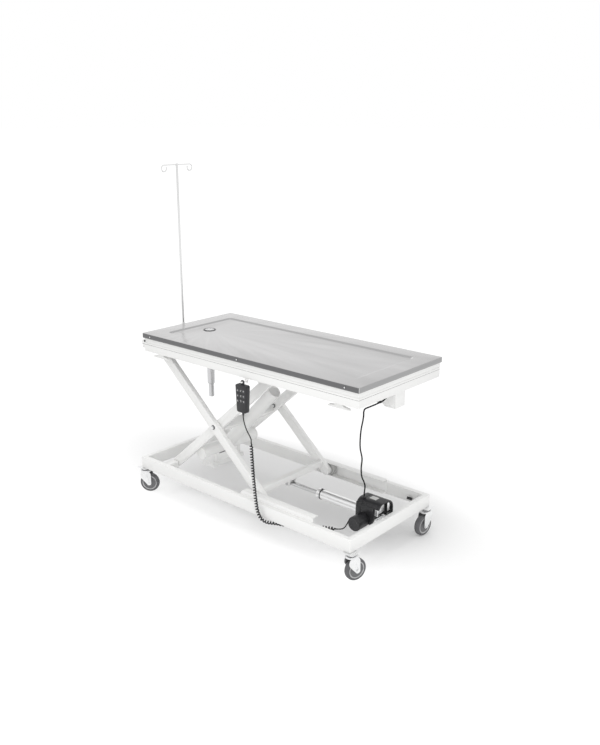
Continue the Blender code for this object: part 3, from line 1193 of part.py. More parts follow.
def build_handset():
    """Handset case with six keys, and the hook that it hangs on."""
    x, top, low = HANDSET_X, HANDSET_TOP_Z, HANDSET_LOW
    half_top, half_low = HANDSET_TOP_WIDTH / 2, HANDSET_BOTTOM_WIDTH / 2
    corner = HANDSET_CORNER
    outline = arc((x + half_top - corner, top - corner), corner, 0.0, math.pi / 2, 3)
    outline += arc((x - half_top + corner, top - corner), corner, math.pi / 2, math.pi, 3)
    outline += arc((x - half_low + corner, low + corner), corner, math.pi, 1.5 * math.pi, 3)
    outline += arc((x + half_low - corner, low + corner), corner, -math.pi / 2, 0.0, 3)
    case = plate("handset_case", outline, HANDSET_DEPTH)
    middle = HANDSET_MIDDLE
    case.location.y = middle
    round_edges(case, 0.003, 1)
    peg_z = top + EYELET_RADIUS + 0.001
    eyelet = plate("eyelet", link_outline((x, peg_z), EYELET_RADIUS, (x, top - 0.010), EYELET_RADIUS),
                   0.006,
                   (circle((x, peg_z), PEG_RADIUS + RUNNING_GAP),))
    eyelet.location.y = middle
    root = low + HANDSET_CORNER / 2
    tip = low - RELIEF_LENGTH + GAP
    relief = turned("relief", [(0.0, root), (RELIEF_RADII[0], root), (RELIEF_RADII[1], tip), (0.0, tip)],
                    12)
    relief.location = (x, middle, 0.0)
    fuse(case, eyelet, relief)
    half_x, half_z = KEY_SIZE[0] / 2, KEY_SIZE[1] / 2
    floor = HANDSET_FRONT + KEY_DEPTH
    for name, key_x, key_z in key_places():
        pocket = box("pocket", (key_x - half_x - RUNNING_GAP, HANDSET_FRONT - EDGE,
                                key_z - half_z - RUNNING_GAP),
                     (key_x + half_x + RUNNING_GAP, floor, key_z + half_z + RUNNING_GAP))
        cut(case, pocket)
        key = box(name, (key_x - half_x, HANDSET_FRONT - KEY_PROUD, key_z - half_z),
                  (key_x + half_x, floor - KEY_TRAVEL - GAP, key_z + half_z), 0.001, 1)
        finish(key, name, DARK)
    finish(case, "level", BLACK)

    rail = -FRAME_HALF
    flat = box("handset_hook", (x - 0.010, rail, LIFT_BOTTOM - GAP - 0.003),
               (x + 0.010, rail + 0.030, LIFT_BOTTOM - GAP))
    tab = box("tab", (x - 0.010, rail, peg_z - 0.006), (x + 0.010, rail + 0.003, LIFT_BOTTOM - GAP - 0.001))
    peg = cylinder("peg", (x, rail + 0.001, peg_z), (x, middle - 0.008, peg_z), PEG_RADIUS, 12)
    fuse(flat, tab, peg)
    finish(flat, "level", WHITE)


def smooth_path(points, spacing):
    """Evenly spaced points on a smooth curve through a route's own points."""
    route = [Vector(point) for point in points]
    ends = [2 * route[0] - route[1]] + route + [2 * route[-1] - route[-2]]
    dense = []
    for a, b, c, d in zip(ends, ends[1:], ends[2:], ends[3:]):
        for i in range(24):
            t = i / 24
            dense.append(0.5 * (2 * b + (c - a) * t + (2 * a - 5 * b + 4 * c - d) * t ** 2
                                + (3 * b - a - 3 * c + d) * t ** 3))
    dense.append(route[-1])
    lengths = [0.0]
    for a, b in zip(dense, dense[1:]):
        lengths.append(lengths[-1] + (b - a).length)
    count = max(2, round(lengths[-1] / spacing))
    path, j = [], 0
    for i in range(count + 1):
        wanted = lengths[-1] * i / count
        while j < len(dense) - 2 and lengths[j + 1] < wanted:
            j += 1
        span = lengths[j + 1] - lengths[j]
        path.append(dense[j].lerp(dense[j + 1], (wanted - lengths[j]) / span))
    return path


def stretched(route, start, end):
    """A route with its two ends moved to given places, and the points between moved in proportion."""
    points = [Vector(point) for point in route]
    lengths = [0.0]
    for a, b in zip(points, points[1:]):
        lengths.append(lengths[-1] + (b - a).length)
    at_start, at_end = Vector(start) - points[0], Vector(end) - points[-1]
    return [point + at_start.lerp(at_end, length / lengths[-1]) for point, length in zip(points, lengths)]


def cord_path(points, spacing):
    """Points of a plain cord whose first and last stretch run straight."""
    return [Vector(points[0])] + smooth_path(points[1:-1], spacing) + [Vector(points[-1])]


def curl_path(points):
    """Points of a curly cord that winds about a smooth route and ends straight."""
    rough = smooth_path(points, 0.01)
    total = sum((b - a).length for a, b in zip(rough, rough[1:]))
    straight = 2 * 2 * CORD_RADIUS
    count = COIL_TURNS * COIL_POINTS
    line = smooth_path(points, total / (count + 2))
    normal = Vector((0.0, 1.0, 0.0))
    curls = []
    for i, centre in enumerate(line):
        ahead = line[min(i + 1, len(line) - 1)]
        behind = line[max(i - 1, 0)]
        run = (ahead - behind).normalized()
        normal = (normal - normal.dot(run) * run).normalized()
        across = run.cross(normal)
        along = total * i / (len(line) - 1)
        grow = min(1.0, max(0.0, min(along, total - along) - straight) / (2 * COIL_RADIUS))
        angle = math.tau * i / COIL_POINTS
        curls.append(centre + COIL_RADIUS * grow * (math.cos(angle) * normal + math.sin(angle) * across))
    return curls


def least_self_gap(points, radius):
    """Least gap between turns of a tube, measured on its points a turn or more apart."""
    least = math.inf
    skip = COIL_POINTS // 2 + 1
    for i, a in enumerate(points):
        for b in points[i + skip:i + 4 * COIL_POINTS]:
            least = min(least, (a - b).length)
    return least - 2 * radius


def cord_routes():
    """Route of each cord from what it leaves to what it goes into."""
    lead_start = Vector((HANDSET_X, HANDSET_MIDDLE, HANDSET_LOW - RELIEF_LENGTH))
    lead_end = lead_start + Vector(LEAD_FALL)
    edge = Vector((HANDSET_X, -BASE_HALF, CASTER_HEIGHT)) + Vector(COIL_EDGE)
    coil_end = Vector((MOTOR_X, MOTOR_FACE - MOTOR_LENGTH, CASTER_HEIGHT)) + Vector(COIL_END)
    entry = Vector((MOTOR_X - MOTOR_RADIUS + MOTOR_ENTRY[0], MOTOR_FACE + MOTOR_ENTRY[1],
                    LIFT_PIN[1] - MOTOR_DROP))
    rise_end = Vector((FRAME_RIGHT, 0.0, LIFT_BOTTOM)) + Vector(RISE_END)
    run_end = Vector((FRAME_RIGHT + RUN_END[0], -TILT_BRACKET_WIDTH / 2 - CORD_GAP,
                      LIFT_BOTTOM + RUN_END[1]))
    drop = Vector((0.0, 0.0, CORD_GAP))
    aside = Vector((CORD_GAP, CORD_GAP, 0.0))
    hang = stretched(HANG_ROUTE, lead_end - drop, edge)
    return {
        "handset_lead": stretched(LEAD_ROUTE, lead_start, lead_end),
        "handset_coil": hang + stretched(UNDER_ROUTE, edge, coil_end)[1:],
        "motor_lead": stretched(MOTOR_ROUTE, coil_end + aside, entry),
        "tilt_cable_rise": stretched(RISE_ROUTE, GLAND, rise_end),
        "tilt_cable_run": stretched(RUN_ROUTE, rise_end + drop, run_end),
    }


def build_cords():
    """Handset cord with its curls, and the cable from the lift motor to the tilt actuator."""
    routes = cord_routes()
    curls = curl_path(routes["handset_coil"])
    print(f"handset_coil: least gap to itself {1000 * least_self_gap(curls, CORD_RADIUS):.2f} mm")
    finish(tube("handset_coil", curls, CORD_RADIUS, 1), "base", CORD)
    for name, body in (("handset_lead", "level"), ("motor_lead", "base")):
        finish(tube(name, cord_path(routes[name], 5 * CORD_RADIUS), CORD_RADIUS), body, CORD)
    for name, body in (("tilt_cable_rise", "base"), ("tilt_cable_run", "level")):
        finish(tube(name, cord_path(routes[name], 9 * CABLE_RADIUS), CABLE_RADIUS), body, CORD)


def put_origin_under_middle():
    """Move the whole table so that the origin lies on the floor under the middle of its outline."""
    bpy.context.view_layer.update()
    graph = bpy.context.evaluated_depsgraph_get()
    corners = []
    for obj in PARTS.objects:
        if obj.type == "MESH" and obj.name not in CORD_NAMES:
            solid = obj.evaluated_get(graph)
            corners += [solid.matrix_world @ vertex.co for vertex in solid.data.vertices]
    xs, ys = [corner.x for corner in corners], [corner.y for corner in corners]
    base, _ = AXES["base"]
    base.location = (-(min(xs) + max(xs)) / 2, -(min(ys) + max(ys)) / 2, 0.0)
    bpy.context.view_layer.update()


def main():
    """Build every piece of the table."""
    add_axes()
    build_base_frame()
    build_roller_tracks()
    build_control_box()
    for corner, (x, y) in caster_places().items():
        build_caster(corner, x, y)
    build_arms()
    build_inner_cross_frame()
    build_outer_crossbar()
    build_lift_actuator()
    build_lift_frame()
    build_tilt_drive()
    build_tilt_frame()
    build_steel_top()
    build_drain()
    build_pole()
    build_handset()
    build_cords()
    put_origin_under_middle()


main()
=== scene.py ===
"""Looks of a veterinary surgery table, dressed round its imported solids.

Sizes are in metres. Pieces are drawn in the table's own frame: X runs from the left (drain) end of the steel
top to its right end, Y is 0 in the middle with the front at -Y, and Z is 0 on the floor. The workshop moves
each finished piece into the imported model's frame.
"""

from __future__ import annotations

import json
import logging
import math
from dataclasses import dataclass
from enum import Enum
from typing import Any, Iterable, Sequence

import bmesh
import bpy
from bmesh.types import BMesh
from bpy.types import ID, Curve, Material, Mesh, Node, NodeSocket, NodeTree, Object, World
from mathutils import Matrix, Vector

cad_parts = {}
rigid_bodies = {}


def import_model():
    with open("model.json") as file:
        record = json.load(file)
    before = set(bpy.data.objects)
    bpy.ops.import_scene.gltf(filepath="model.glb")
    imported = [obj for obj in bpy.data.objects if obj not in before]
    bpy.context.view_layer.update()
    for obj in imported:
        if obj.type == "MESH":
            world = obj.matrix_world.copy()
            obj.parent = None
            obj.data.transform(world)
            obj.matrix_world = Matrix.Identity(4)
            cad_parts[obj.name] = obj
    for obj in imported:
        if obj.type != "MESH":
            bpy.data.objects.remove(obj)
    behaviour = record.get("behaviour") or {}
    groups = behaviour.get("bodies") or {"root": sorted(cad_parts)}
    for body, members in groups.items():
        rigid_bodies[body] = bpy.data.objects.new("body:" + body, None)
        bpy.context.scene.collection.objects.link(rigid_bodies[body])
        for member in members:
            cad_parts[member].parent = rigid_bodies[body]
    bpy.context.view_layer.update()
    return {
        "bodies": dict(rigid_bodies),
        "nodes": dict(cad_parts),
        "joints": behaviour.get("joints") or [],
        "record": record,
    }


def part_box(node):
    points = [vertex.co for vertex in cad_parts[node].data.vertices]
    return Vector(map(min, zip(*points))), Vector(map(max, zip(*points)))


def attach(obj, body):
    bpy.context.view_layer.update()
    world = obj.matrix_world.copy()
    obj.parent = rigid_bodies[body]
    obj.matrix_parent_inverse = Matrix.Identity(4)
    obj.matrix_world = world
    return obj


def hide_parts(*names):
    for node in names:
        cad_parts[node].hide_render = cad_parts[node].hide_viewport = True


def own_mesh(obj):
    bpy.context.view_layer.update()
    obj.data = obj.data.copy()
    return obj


LOG = logging.getLogger("surgery_table")
Point = Sequence[float]
Pair = tuple[float, float]
Colour = tuple[float, float, float]
Place = tuple[Point, Point]
QUARTER = math.pi / 2
GAP = 0.0003
ON_AXIS = 1e-7
SMOOTH = 35.0
WHITE_LIGHT = (1.0, 1.0, 1.0, 1.0)
UP, LEFT = (0.0, 0.0, 1.0), (-1.0, 0.0, 0.0)
FORWARD, BACKWARD = (0.0, -1.0, 0.0), (0.0, 1.0, 0.0)


class Run(Enum):
    """Stretch of a grain, by the axis that it runs along."""

    X = (0.008, 1.0, 1.0)
    Y = (1.0, 0.008, 1.0)
    Z = (1.0, 1.0, 0.008)
    EVEN = (1.0, 1.0, 1.0)


class Side(Enum):
    """The two long sides of the table."""

    FRONT = -1
    REAR = 1

    @property
    def label(self) -> str:
        """Name of the side as the nodes spell it."""
        return self.name.lower()


class NodeMaker:
    """Adds nodes to one node tree."""

    def __init__(self, tree: NodeTree) -> None:
        """Keep the tree that nodes are added to."""
        self.tree = tree

    def node(self, kind: str, inputs: dict[str | int, Any] | None = None, **settings: Any) -> Node:
        """Add a node, set it up and then feed its sockets.

        Args:
            kind: The node's type name.
            inputs: Values, sockets or wrapped sockets by the input's name or number.
            **settings: Properties of the node, set first.

        Returns:
            The new node.
        """
        made = self.tree.nodes.new(kind)
        for key, setting in settings.items():
            setattr(made, key, setting)
        for key, value in (inputs or {}).items():
            self.feed(made.inputs[key], value)
        return made

    def feed(self, socket: NodeSocket, value: Any) -> None:
        """Link a socket into another, or set its value.

        Args:
            socket: The input to feed.
            value: A wrapped socket, a socket, a number or a tuple.
        """
        if isinstance(value, Value):
            value = value.socket
        if isinstance(value, NodeSocket):
            self.tree.links.new(value, socket)
        else:
            socket.default_value = value


class Value:
    """A number socket that takes part in Python arithmetic."""

    def __init__(self, maker: NodeMaker, socket: NodeSocket) -> None:
        """Wrap an output socket, with the maker that adds its Math nodes."""
        self.maker = maker
        self.socket = socket

    def math(self, operation: str, first: Any, second: Any) -> Value:
        """Result of a Math node fed with two values."""
        made = self.maker.node("ShaderNodeMath", {0: first, 1: second}, operation=operation)
        return Value(self.maker, made.outputs[0])

    def __add__(self, other: Any) -> Value:
        """Sum."""
        return self.math("ADD", self, other)

    def __radd__(self, other: Any) -> Value:
        """Sum with a number on the left."""
        return self.math("ADD", other, self)

    def __sub__(self, other: Any) -> Value:
        """Difference."""
        return self.math("SUBTRACT", self, other)

    def __rsub__(self, other: Any) -> Value:
        """Difference from a number on the left."""
        return self.math("SUBTRACT", other, self)

    def __mul__(self, other: Any) -> Value:
        """Product."""
        return self.math("MULTIPLY", self, other)

    def __rmul__(self, other: Any) -> Value:
        """Product with a number on the left."""
        return self.math("MULTIPLY", other, self)

    def __gt__(self, other: Any) -> Value:
        """One where the value is greater, else nought."""
        return self.math("GREATER_THAN", self, other)

    def __lt__(self, other: Any) -> Value:
        """One where the value is less, else nought: the form of > with a number on the left."""
        return self.math("LESS_THAN", self, other)


def emptied(owner: Material | World) -> NodeTree:
    """Cleared node tree of a material or a world.

    Args:
        owner: The material or world.

    Returns:
        Its empty tree.
    """
    owner.use_nodes = True
    owner.node_tree.nodes.clear()
    return owner.node_tree


class Sheet(NodeMaker):
    """Node tree of one finish, with its shader and its coordinates."""

    def __init__(self, name: str) -> None:
        """Start a material with a Principled shader.

        Args:
            name: The material's name.
        """
        self.material = bpy.data.materials.new(name)
        super().__init__(emptied(self.material))
        self.shader = self.node("ShaderNodeBsdfPrincipled")
        self.node("ShaderNodeOutputMaterial", {"Surface": self.shader.outputs["BSDF"]})
        self.coords = self.node("ShaderNodeTexCoord").outputs["Object"]

    def noise(self, scale: float, detail: float, run: Run = Run.EVEN) -> Value:
        """Noise over the piece.

        Args:
            scale: Grains for each metre.
            detail: Octaves of finer noise.
            run: The way that a long grain runs.

        Returns:
            The noise, from 0 to 1.
        """
        mapped = self.node("ShaderNodeMapping", {"Vector": self.coords, "Scale": run.value})
        made = self.node("ShaderNodeTexNoise", {"Vector": mapped.outputs["Vector"], "Scale": scale,
                                                "Detail": detail})
        return Value(self, made.outputs["Fac"])

    def cells(self, scale: float) -> Value:
        """Random value for each cell of a cellular pattern.

        Args:
            scale: Cells for each metre.

        Returns:
            The cell's value, from 0 to 1.
        """
        made = self.node("ShaderNodeTexVoronoi", {"Vector": self.coords, "Scale": scale})
        split = self.node("ShaderNodeSeparateColor", {"Color": made.outputs["Color"]})
        return Value(self, split.outputs[0])

    def dress(self, colour: Colour, tone: Value, shades: Pair, roughness: Value, metallic: float,
              height: Value, relief: Pair) -> Material:
        """Feed the shader.

        Args:
            colour: The finish's colour.
            tone: 0 for the first shade of the colour, 1 for the second.
            shades: Factors of the two shades.
            roughness: Its roughness.
            metallic: 1 for a metal.
            height: Height of its fine relief.
            relief: Depth of the relief in metres, and its strength.

        Returns:
            The material.
        """
        first, second = ((*(min(1.0, channel * shade) for channel in colour), 1.0) for shade in shades)
        mixed = self.node("ShaderNodeMix", {0: tone, 6: first, 7: second}, data_type="RGBA")
        depth, strength = relief
        bump = self.node("ShaderNodeBump", {"Strength": strength, "Distance": depth, "Height": height})
        for name, value in (("Base Color", mixed.outputs[2]), ("Roughness", roughness),
                            ("Metallic", metallic), ("Normal", bump.outputs["Normal"])):
            self.feed(self.shader.inputs[name], value)
        return self.material


@dataclass(frozen=True)
class Finish:
    """A finish, and the material slot of the record that it belongs to."""

    name: str
    colour: Colour
    roughness: float
    slot: str = ""

    def make(self) -> Material:
        """Material of the finish."""
        raise NotImplementedError


@dataclass(frozen=True)
class PowderCoat(Finish):
    """Baked paint with a faint orange peel and a little unevenness."""

    coat_weight: float = 0.25
    coat_roughness: float = 0.18
    shades: Pair = (1.0, 0.955)
    swing: float = 0.14
    relief: Pair = (0.00012, 0.22)

    def make(self) -> Material:
        """Material of the paint."""
        sheet = Sheet(self.name)
        cloud = sheet.noise(5.0, 4.0)
        peel = sheet.noise(520.0, 1.0) * 0.7 + sheet.noise(160.0, 2.0) * 0.5
        speck = sheet.noise(900.0, 0.0) > 0.80
        sheet.shader.inputs["Coat Weight"].default_value = self.coat_weight
        sheet.shader.inputs["Coat Roughness"].default_value = self.coat_roughness
        rough = cloud * self.swing + (self.roughness - self.swing / 2)
        return sheet.dress(self.colour, cloud * 0.8 + speck * 0.35, self.shades, rough, 0.0, peel,
                           self.relief)


@dataclass(frozen=True)
class BrushedSteel(Finish):
    """Stainless steel with fine brush lines along one direction and faint wiping marks."""

    slot: str = "stainless"
    run: Run = Run.X
    shades: Pair = (0.88, 1.12)
    swing: float = 0.10
    relief: Pair = (0.00002, 0.10)

    def tone(self, sheet: Sheet, lines: Value, wiped: Value) -> Value:
        """Tone of the metal, from brush lines, broader lines and wiping marks."""
        broad = sheet.noise(260.0, 2.0, self.run)
        return lines * 0.55 + broad * 0.25 + wiped * 0.20

    def make(self) -> Material:
        """Material of the metal."""
        sheet = Sheet(self.name)
        lines = sheet.noise(1400.0, 3.0, self.run)
        wiped = sheet.noise(4.0, 3.0)
        rough = lines * self.swing + wiped * self.swing + (self.roughness - self.swing)
        tone = self.tone(sheet, lines, wiped)
        return sheet.dress(self.colour, tone, self.shades, rough, 1.0, lines, self.relief)


@dataclass(frozen=True)
class FannedSteel(BrushedSteel):
    """Stainless sheet with painted reflections: bands that fan out from its drain, and a tone that darkens
    away from it.
    """

    shades: Pair = (0.80, 1.20)
    centre: Pair = (0.0, 0.0)

    def tone(self, sheet: Sheet, lines: Value, wiped: Value) -> Value:
        """Tone of the sheet, from painted reflection bands round its drain, a painted darkening away from
        it, brush lines and wiping marks.

        Args:
            sheet: The finish's node tree.
            lines: The brush lines.
            wiped: The wiping marks.

        Returns:
            The tone.
        """
        split = sheet.node("ShaderNodeSeparateXYZ", {"Vector": sheet.coords})
        x, y = (Value(sheet, split.outputs[axis]) - middle for axis, middle in zip("XY", self.centre))
        square = x * x + y * y
        away = square.math("SQRT", square, 0.0)
        turn = y.math("ARCTAN2", y, x)
        fan = sheet.node("ShaderNodeCombineXYZ", {"X": turn * 2.0, "Y": away * 0.4})
        made = sheet.node("ShaderNodeTexNoise", {"Vector": fan.outputs["Vector"], "Scale": 3.0,
                                                 "Detail": 2.0, "Roughness": 0.6})
        reflection_bands = Value(sheet, made.outputs["Fac"])
        shown = away.math("MINIMUM", away * 2.2, 1.0)
        # Painted reflection: the fanned bands, and the tone that falls away from the drain.
        return ((reflection_bands - 0.5) * shown * 1.4 + (lines - 0.5) * 0.14 + (wiped - 0.5) * 0.25
                - away * 0.30 + 0.67)


@dataclass(frozen=True)
class Grained(Finish):
    """Finish with a fine grain in relief under broad clouds of tone and sheen.

    Grain and clouds are given by scale and detail, spangles by scale and share of the tone.
    """

    grain: Pair = (900.0, 2.0)
    clouds: Pair = (20.0, 3.0)
    spangles: Pair = (0.0, 0.0)
    share: float = 0.7
    shades: Pair = (0.75, 1.35)
    swing: float = 0.2
    metallic: float = 0.0
    relief: Pair = (0.0001, 0.35)
    run: Run = Run.EVEN
    specular: float = 0.5

    def make(self) -> Material:
        """Material of the finish."""
        sheet = Sheet(self.name)
        grain = sheet.noise(*self.grain, self.run)
        cloud = sheet.noise(*self.clouds)
        scale, part = self.spangles
        tone = cloud * self.share + grain * (1.0 - self.share - part)
        if part:
            tone = tone + sheet.cells(scale) * part
        sheet.shader.inputs["Specular IOR Level"].default_value = self.specular
        rough = cloud * self.swing + (self.roughness - self.swing / 2)
        return sheet.dress(self.colour, tone, self.shades, rough, self.metallic, grain, self.relief)


@dataclass(frozen=True)
class BrightZinc(Grained):
    """Zinc-plated pressed steel with a faint cloudy passivation."""

    slot: str = "zinc"
    grain: Pair = (700.0, 2.0)
    clouds: Pair = (38.0, 4.0)
    spangles: Pair = (260.0, 0.25)
    share: float = 0.6
    shades: Pair = (0.80, 1.15)
    swing: float = 0.18
    metallic: float = 1.0
    relief: Pair = (0.00003, 0.12)


@dataclass(frozen=True)
class DrawnSteel(Grained):
    """Bare or blackened steel with drawing marks along one direction and a trace of grease."""

    slot: str = "steel"
    clouds: Pair = (24.0, 3.0)
    share: float = 0.4
    shades: Pair = (0.74, 1.18)
    metallic: float = 1.0
    relief: Pair = (0.00002, 0.12)
    run: Run = Run.X


@dataclass(frozen=True)
class MouldedPlastic(Grained):
    """Moulded plastic with a spark-eroded grain and slightly polished patches."""

    slot: str = "dark_nylon"


@dataclass(frozen=True)
class Rubber(Grained):
    """Tyre rubber with dust in its pores."""

    slot: str = "grey_rubber"
    grain: Pair = (1100.0, 2.0)
    clouds: Pair = (45.0, 4.0)
    share: float = 0.75
    shades: Pair = (0.72, 1.5)
    swing: float = 0.16
    relief: Pair = (0.00012, 0.4)


@dataclass(frozen=True)
class CordJacket(Grained):
    """Soft black cord jacket with fine extrusion marks and little shine."""

    slot: str = "black_cord"
    grain: Pair = (1900.0, 1.0)
    clouds: Pair = (60.0, 2.0)
    share: float = 0.8
    shades: Pair = (0.7, 1.5)
    relief: Pair = (0.00006, 0.3)
    specular: float = 0.14


@dataclass(frozen=True)
class Print(Grained):
    """Light ink of the key signs, or a bare foil plate."""

    grain: Pair = (1600.0, 2.0)
    clouds: Pair = (90.0, 3.0)
    shades: Pair = (0.84, 1.08)
    relief: Pair = (0.00003, 0.2)


class Finishes:
    """Every finish on the table but the fanned sheet, which needs the drain's place."""

    WHITE = PowderCoat("white_powder_coat", (0.86, 0.86, 0.85), 0.36, "white_paint")
    # Painted shade on the top's folded lips: the long lips darkest, the end lips less dark.
    LIP = BrushedSteel("ground_edge", (0.17, 0.17, 0.174), 0.34)
    LIP_END = BrushedSteel("ground_end", (0.37, 0.37, 0.372), 0.34, run=Run.Y)
    # Painted highlight on the rounded corners of the lips.
    SEAM = BrushedSteel("ground_seam", (0.66, 0.66, 0.66), 0.30, run=Run.Z)
    # Painted shade on the basin's slopes, and painted light on the slope at the right end.
    SLOPE = BrushedSteel("folded_slope", (0.42, 0.418, 0.42), 0.26)
    SLOPE_END = BrushedSteel("folded_slope_end", (0.74, 0.74, 0.74), 0.26, run=Run.Y)
    # Painted shade: the stainless drain flange is coloured near black.
    DRAIN_RING = DrawnSteel("dark_ring", (0.13, 0.13, 0.135), 0.34, "stainless")
    POLE = BrushedSteel("polished_pole", (0.75, 0.75, 0.75), 0.18, run=Run.Z)
    UPRIGHT = BrushedSteel("drawn_stainless", (0.62, 0.62, 0.63), 0.22, run=Run.Z)
    TUBE = BrushedSteel("anodised_tube", (0.92, 0.92, 0.925), 0.32)
    ROD = BrushedSteel("ground_rod", (0.64, 0.64, 0.645), 0.18, "steel")
    ZINC = BrightZinc("bright_zinc", (0.90, 0.91, 0.92), 0.30)
    STEEL = DrawnSteel("bare_steel", (0.46, 0.46, 0.47), 0.30)
    BOLT = DrawnSteel("blackened_bolt", (0.10, 0.10, 0.105), 0.38, run=Run.Y)
    BLACK = MouldedPlastic("black_plastic", (0.018, 0.018, 0.020), 0.42, "black_plastic", (1500.0, 2.0))
    KEYS = MouldedPlastic("dark_nylon", (0.05, 0.05, 0.055), 0.5)
    NYLON = MouldedPlastic("pale_nylon", (0.52, 0.52, 0.51), 0.5)
    HUB = MouldedPlastic("grey_hub", (0.14, 0.14, 0.145), 0.45, grain=(1100.0, 2.0))
    TYRE = Rubber("grey_rubber", (0.105, 0.105, 0.11), 0.66)
    TREAD_RING = Rubber("pale_rubber", (0.44, 0.44, 0.445), 0.6)
    CORD = CordJacket("black_cord", (0.005, 0.005, 0.006), 0.55)
    PRINT = Print("light_print", (0.66, 0.66, 0.65), 0.5)
    PLATE = Print("bare_foil", (0.62, 0.62, 0.61), 0.38)


def arc(centre: Pair, radius: float, start: float, stop: float, count: int) -> list[Pair]:
    """Points along an arc, both ends included, from one angle in radians to another in so many steps."""
    angles = [start + (stop - start) * i / count for i in range(count + 1)]
    return [(centre[0] + radius * math.cos(a), centre[1] + radius * math.sin(a)) for a in angles]


def circle(centre: Pair, radius: float, count: int = 28) -> list[Pair]:
    """Closed loop of points round a centre."""
    return arc(centre, radius, 0.0, math.tau, count)[:-1]


def link_outline(first: Pair, first_radius: float, second: Pair, second_radius: float,
                 count: int = 18) -> list[Pair]:
    """Outline of a link: two round ends joined by straight tangents.

    Args:
        first: Centre of the first end.
        first_radius: Radius of the first end.
        second: Centre of the second end.
        second_radius: Radius of the second end.
        count: Steps along each end.

    Returns:
        The closed outline.
    """
    run = Vector(second) - Vector(first)
    heading = math.atan2(run.y, run.x)
    spread = math.acos((first_radius - second_radius) / run.length)
    back = arc(first, first_radius, heading + spread, heading + math.tau - spread, count)
    return back + arc(second, second_radius, heading - spread, heading + spread, count)


def rounded_rectangle(half_x: float, half_y: float, radius: float, corner: int, side: int) -> list[Pair]:
    """Closed loop of a rectangle with round corners.

    Args:
        half_x: Half of its length.
        half_y: Half of its width.
        radius: Corner radius.
        corner: Steps round each corner.
        side: Steps along each side.

    Returns:
        The points, counter-clockwise from the right end.
    """
    corners = [arc((sx * (half_x - radius), sy * (half_y - radius)), radius, i * QUARTER, (i + 1) * QUARTER,
                   corner) for i, (sx, sy) in enumerate(((1, 1), (-1, 1), (-1, -1), (1, -1)))]
    points: list[Pair] = []
    for bend, following in zip(corners, corners[1:] + corners[:1]):
        a, b = bend[-1], following[0]
        points += bend + [(a[0] + (b[0] - a[0]) * k / side, a[1] + (b[1] - a[1]) * k / side)
                          for k in range(1, side)]
    return points


def fillet(points: Sequence[Pair], radius: float, steps: int) -> list[Pair]:
    """Round the corners of an open line of points.

    Args:
        points: The line's corners.
        radius: How far before and after a corner the rounding starts, at most.
        steps: Steps of each rounding.

    Returns:
        The rounded line.
    """
    line = [Vector(point) for point in points]
    made = [line[0]]
    for before, corner, after in zip(line, line[1:], line[2:]):
        room = min(radius, 0.45 * (corner - before).length, 0.45 * (after - corner).length)
        start = corner + (before - corner).normalized() * room
        stop = corner + (after - corner).normalized() * room
        for i in range(steps + 1):
            t = i / steps
            made.append(start * (1 - t) ** 2 + corner * 2 * t * (1 - t) + stop * t ** 2)
    made.append(line[-1])
    return [(point.x, point.y) for point in made]


def mirrored(half: Sequence[Pair]) -> list[Pair]:
    """The upper half of a turned profile with its mirror image below."""
    return [*half, *((radius, -height) for radius, height in reversed(half))]


def clamped(share: float) -> float:
    """A share held between nought and one."""
    return min(1.0, max(0.0, share))


def along(start: Point, direction: Point) -> Matrix:
    """Matrix that puts a shape made along Z at a place, with Z along a direction."""
    turn = Vector(direction).to_track_quat("Z", "Y").to_matrix().to_4x4()
    return Matrix.Translation(Vector(start)) @ turn


def turned_at(place: Point, angle: float, axis: str = "Y") -> Matrix:
    """Matrix that turns a shape about an axis and then moves it to a place."""
    return Matrix.Translation(place) @ Matrix.Rotation(angle, 4, axis)


def both_sides(x: float, y: float, z: float, outward: int = 1) -> list[Place]:
    """Places on both long sides of the table, their axes pointing outward, or inward for -1."""
    return [((x, side.value * y, z), (0.0, outward * side.value, 0.0)) for side in Side]


def linked(name: str, data: ID) -> Object:
    """A new object in the scene.

    Args:
        name: Its name.
        data: Its mesh, curve, camera or light.

    Returns:
        The object.
    """
    made = bpy.data.objects.new(name, data)
    bpy.context.scene.collection.objects.link(made)
    return made


def baked(data: ID, kind: str = "", sockets: dict[str, Any] | None = None, **settings: Any) -> Mesh:
    """Plain mesh of a mesh or a curve, after one modifier if a kind is given.

    Args:
        data: The mesh or curve, which is used up.
        kind: The modifier's type.
        sockets: Inputs of a node modifier by their identifiers.
        **settings: Properties of the modifier.

    Returns:
        The new mesh.
    """
    holder = linked("holder", data)
    if kind:
        modifier = holder.modifiers.new("shape", kind)
        for key, setting in settings.items():
            setattr(modifier, key, setting)
        for key, value in (sockets or {}).items():
            modifier[key] = value
    graph = bpy.context.evaluated_depsgraph_get()
    made = bpy.data.meshes.new_from_object(holder.evaluated_get(graph))
    bpy.data.objects.remove(holder)
    store = bpy.data.curves if isinstance(data, Curve) else bpy.data.meshes
    store.remove(data)
    return made


def without(mesh: Mesh, tool: Mesh) -> Mesh:
    """A mesh with another cut out of it.

    Args:
        mesh: The mesh, which is used up.
        tool: What is cut out, which is used up too.

    Returns:
        The cut mesh.
    """
    cutter = linked("cutter", tool)
    made = baked(mesh, "BOOLEAN", operation="DIFFERENCE", solver="EXACT", object=cutter)
    bpy.data.objects.remove(cutter)
    bpy.data.meshes.remove(tool)
    return made


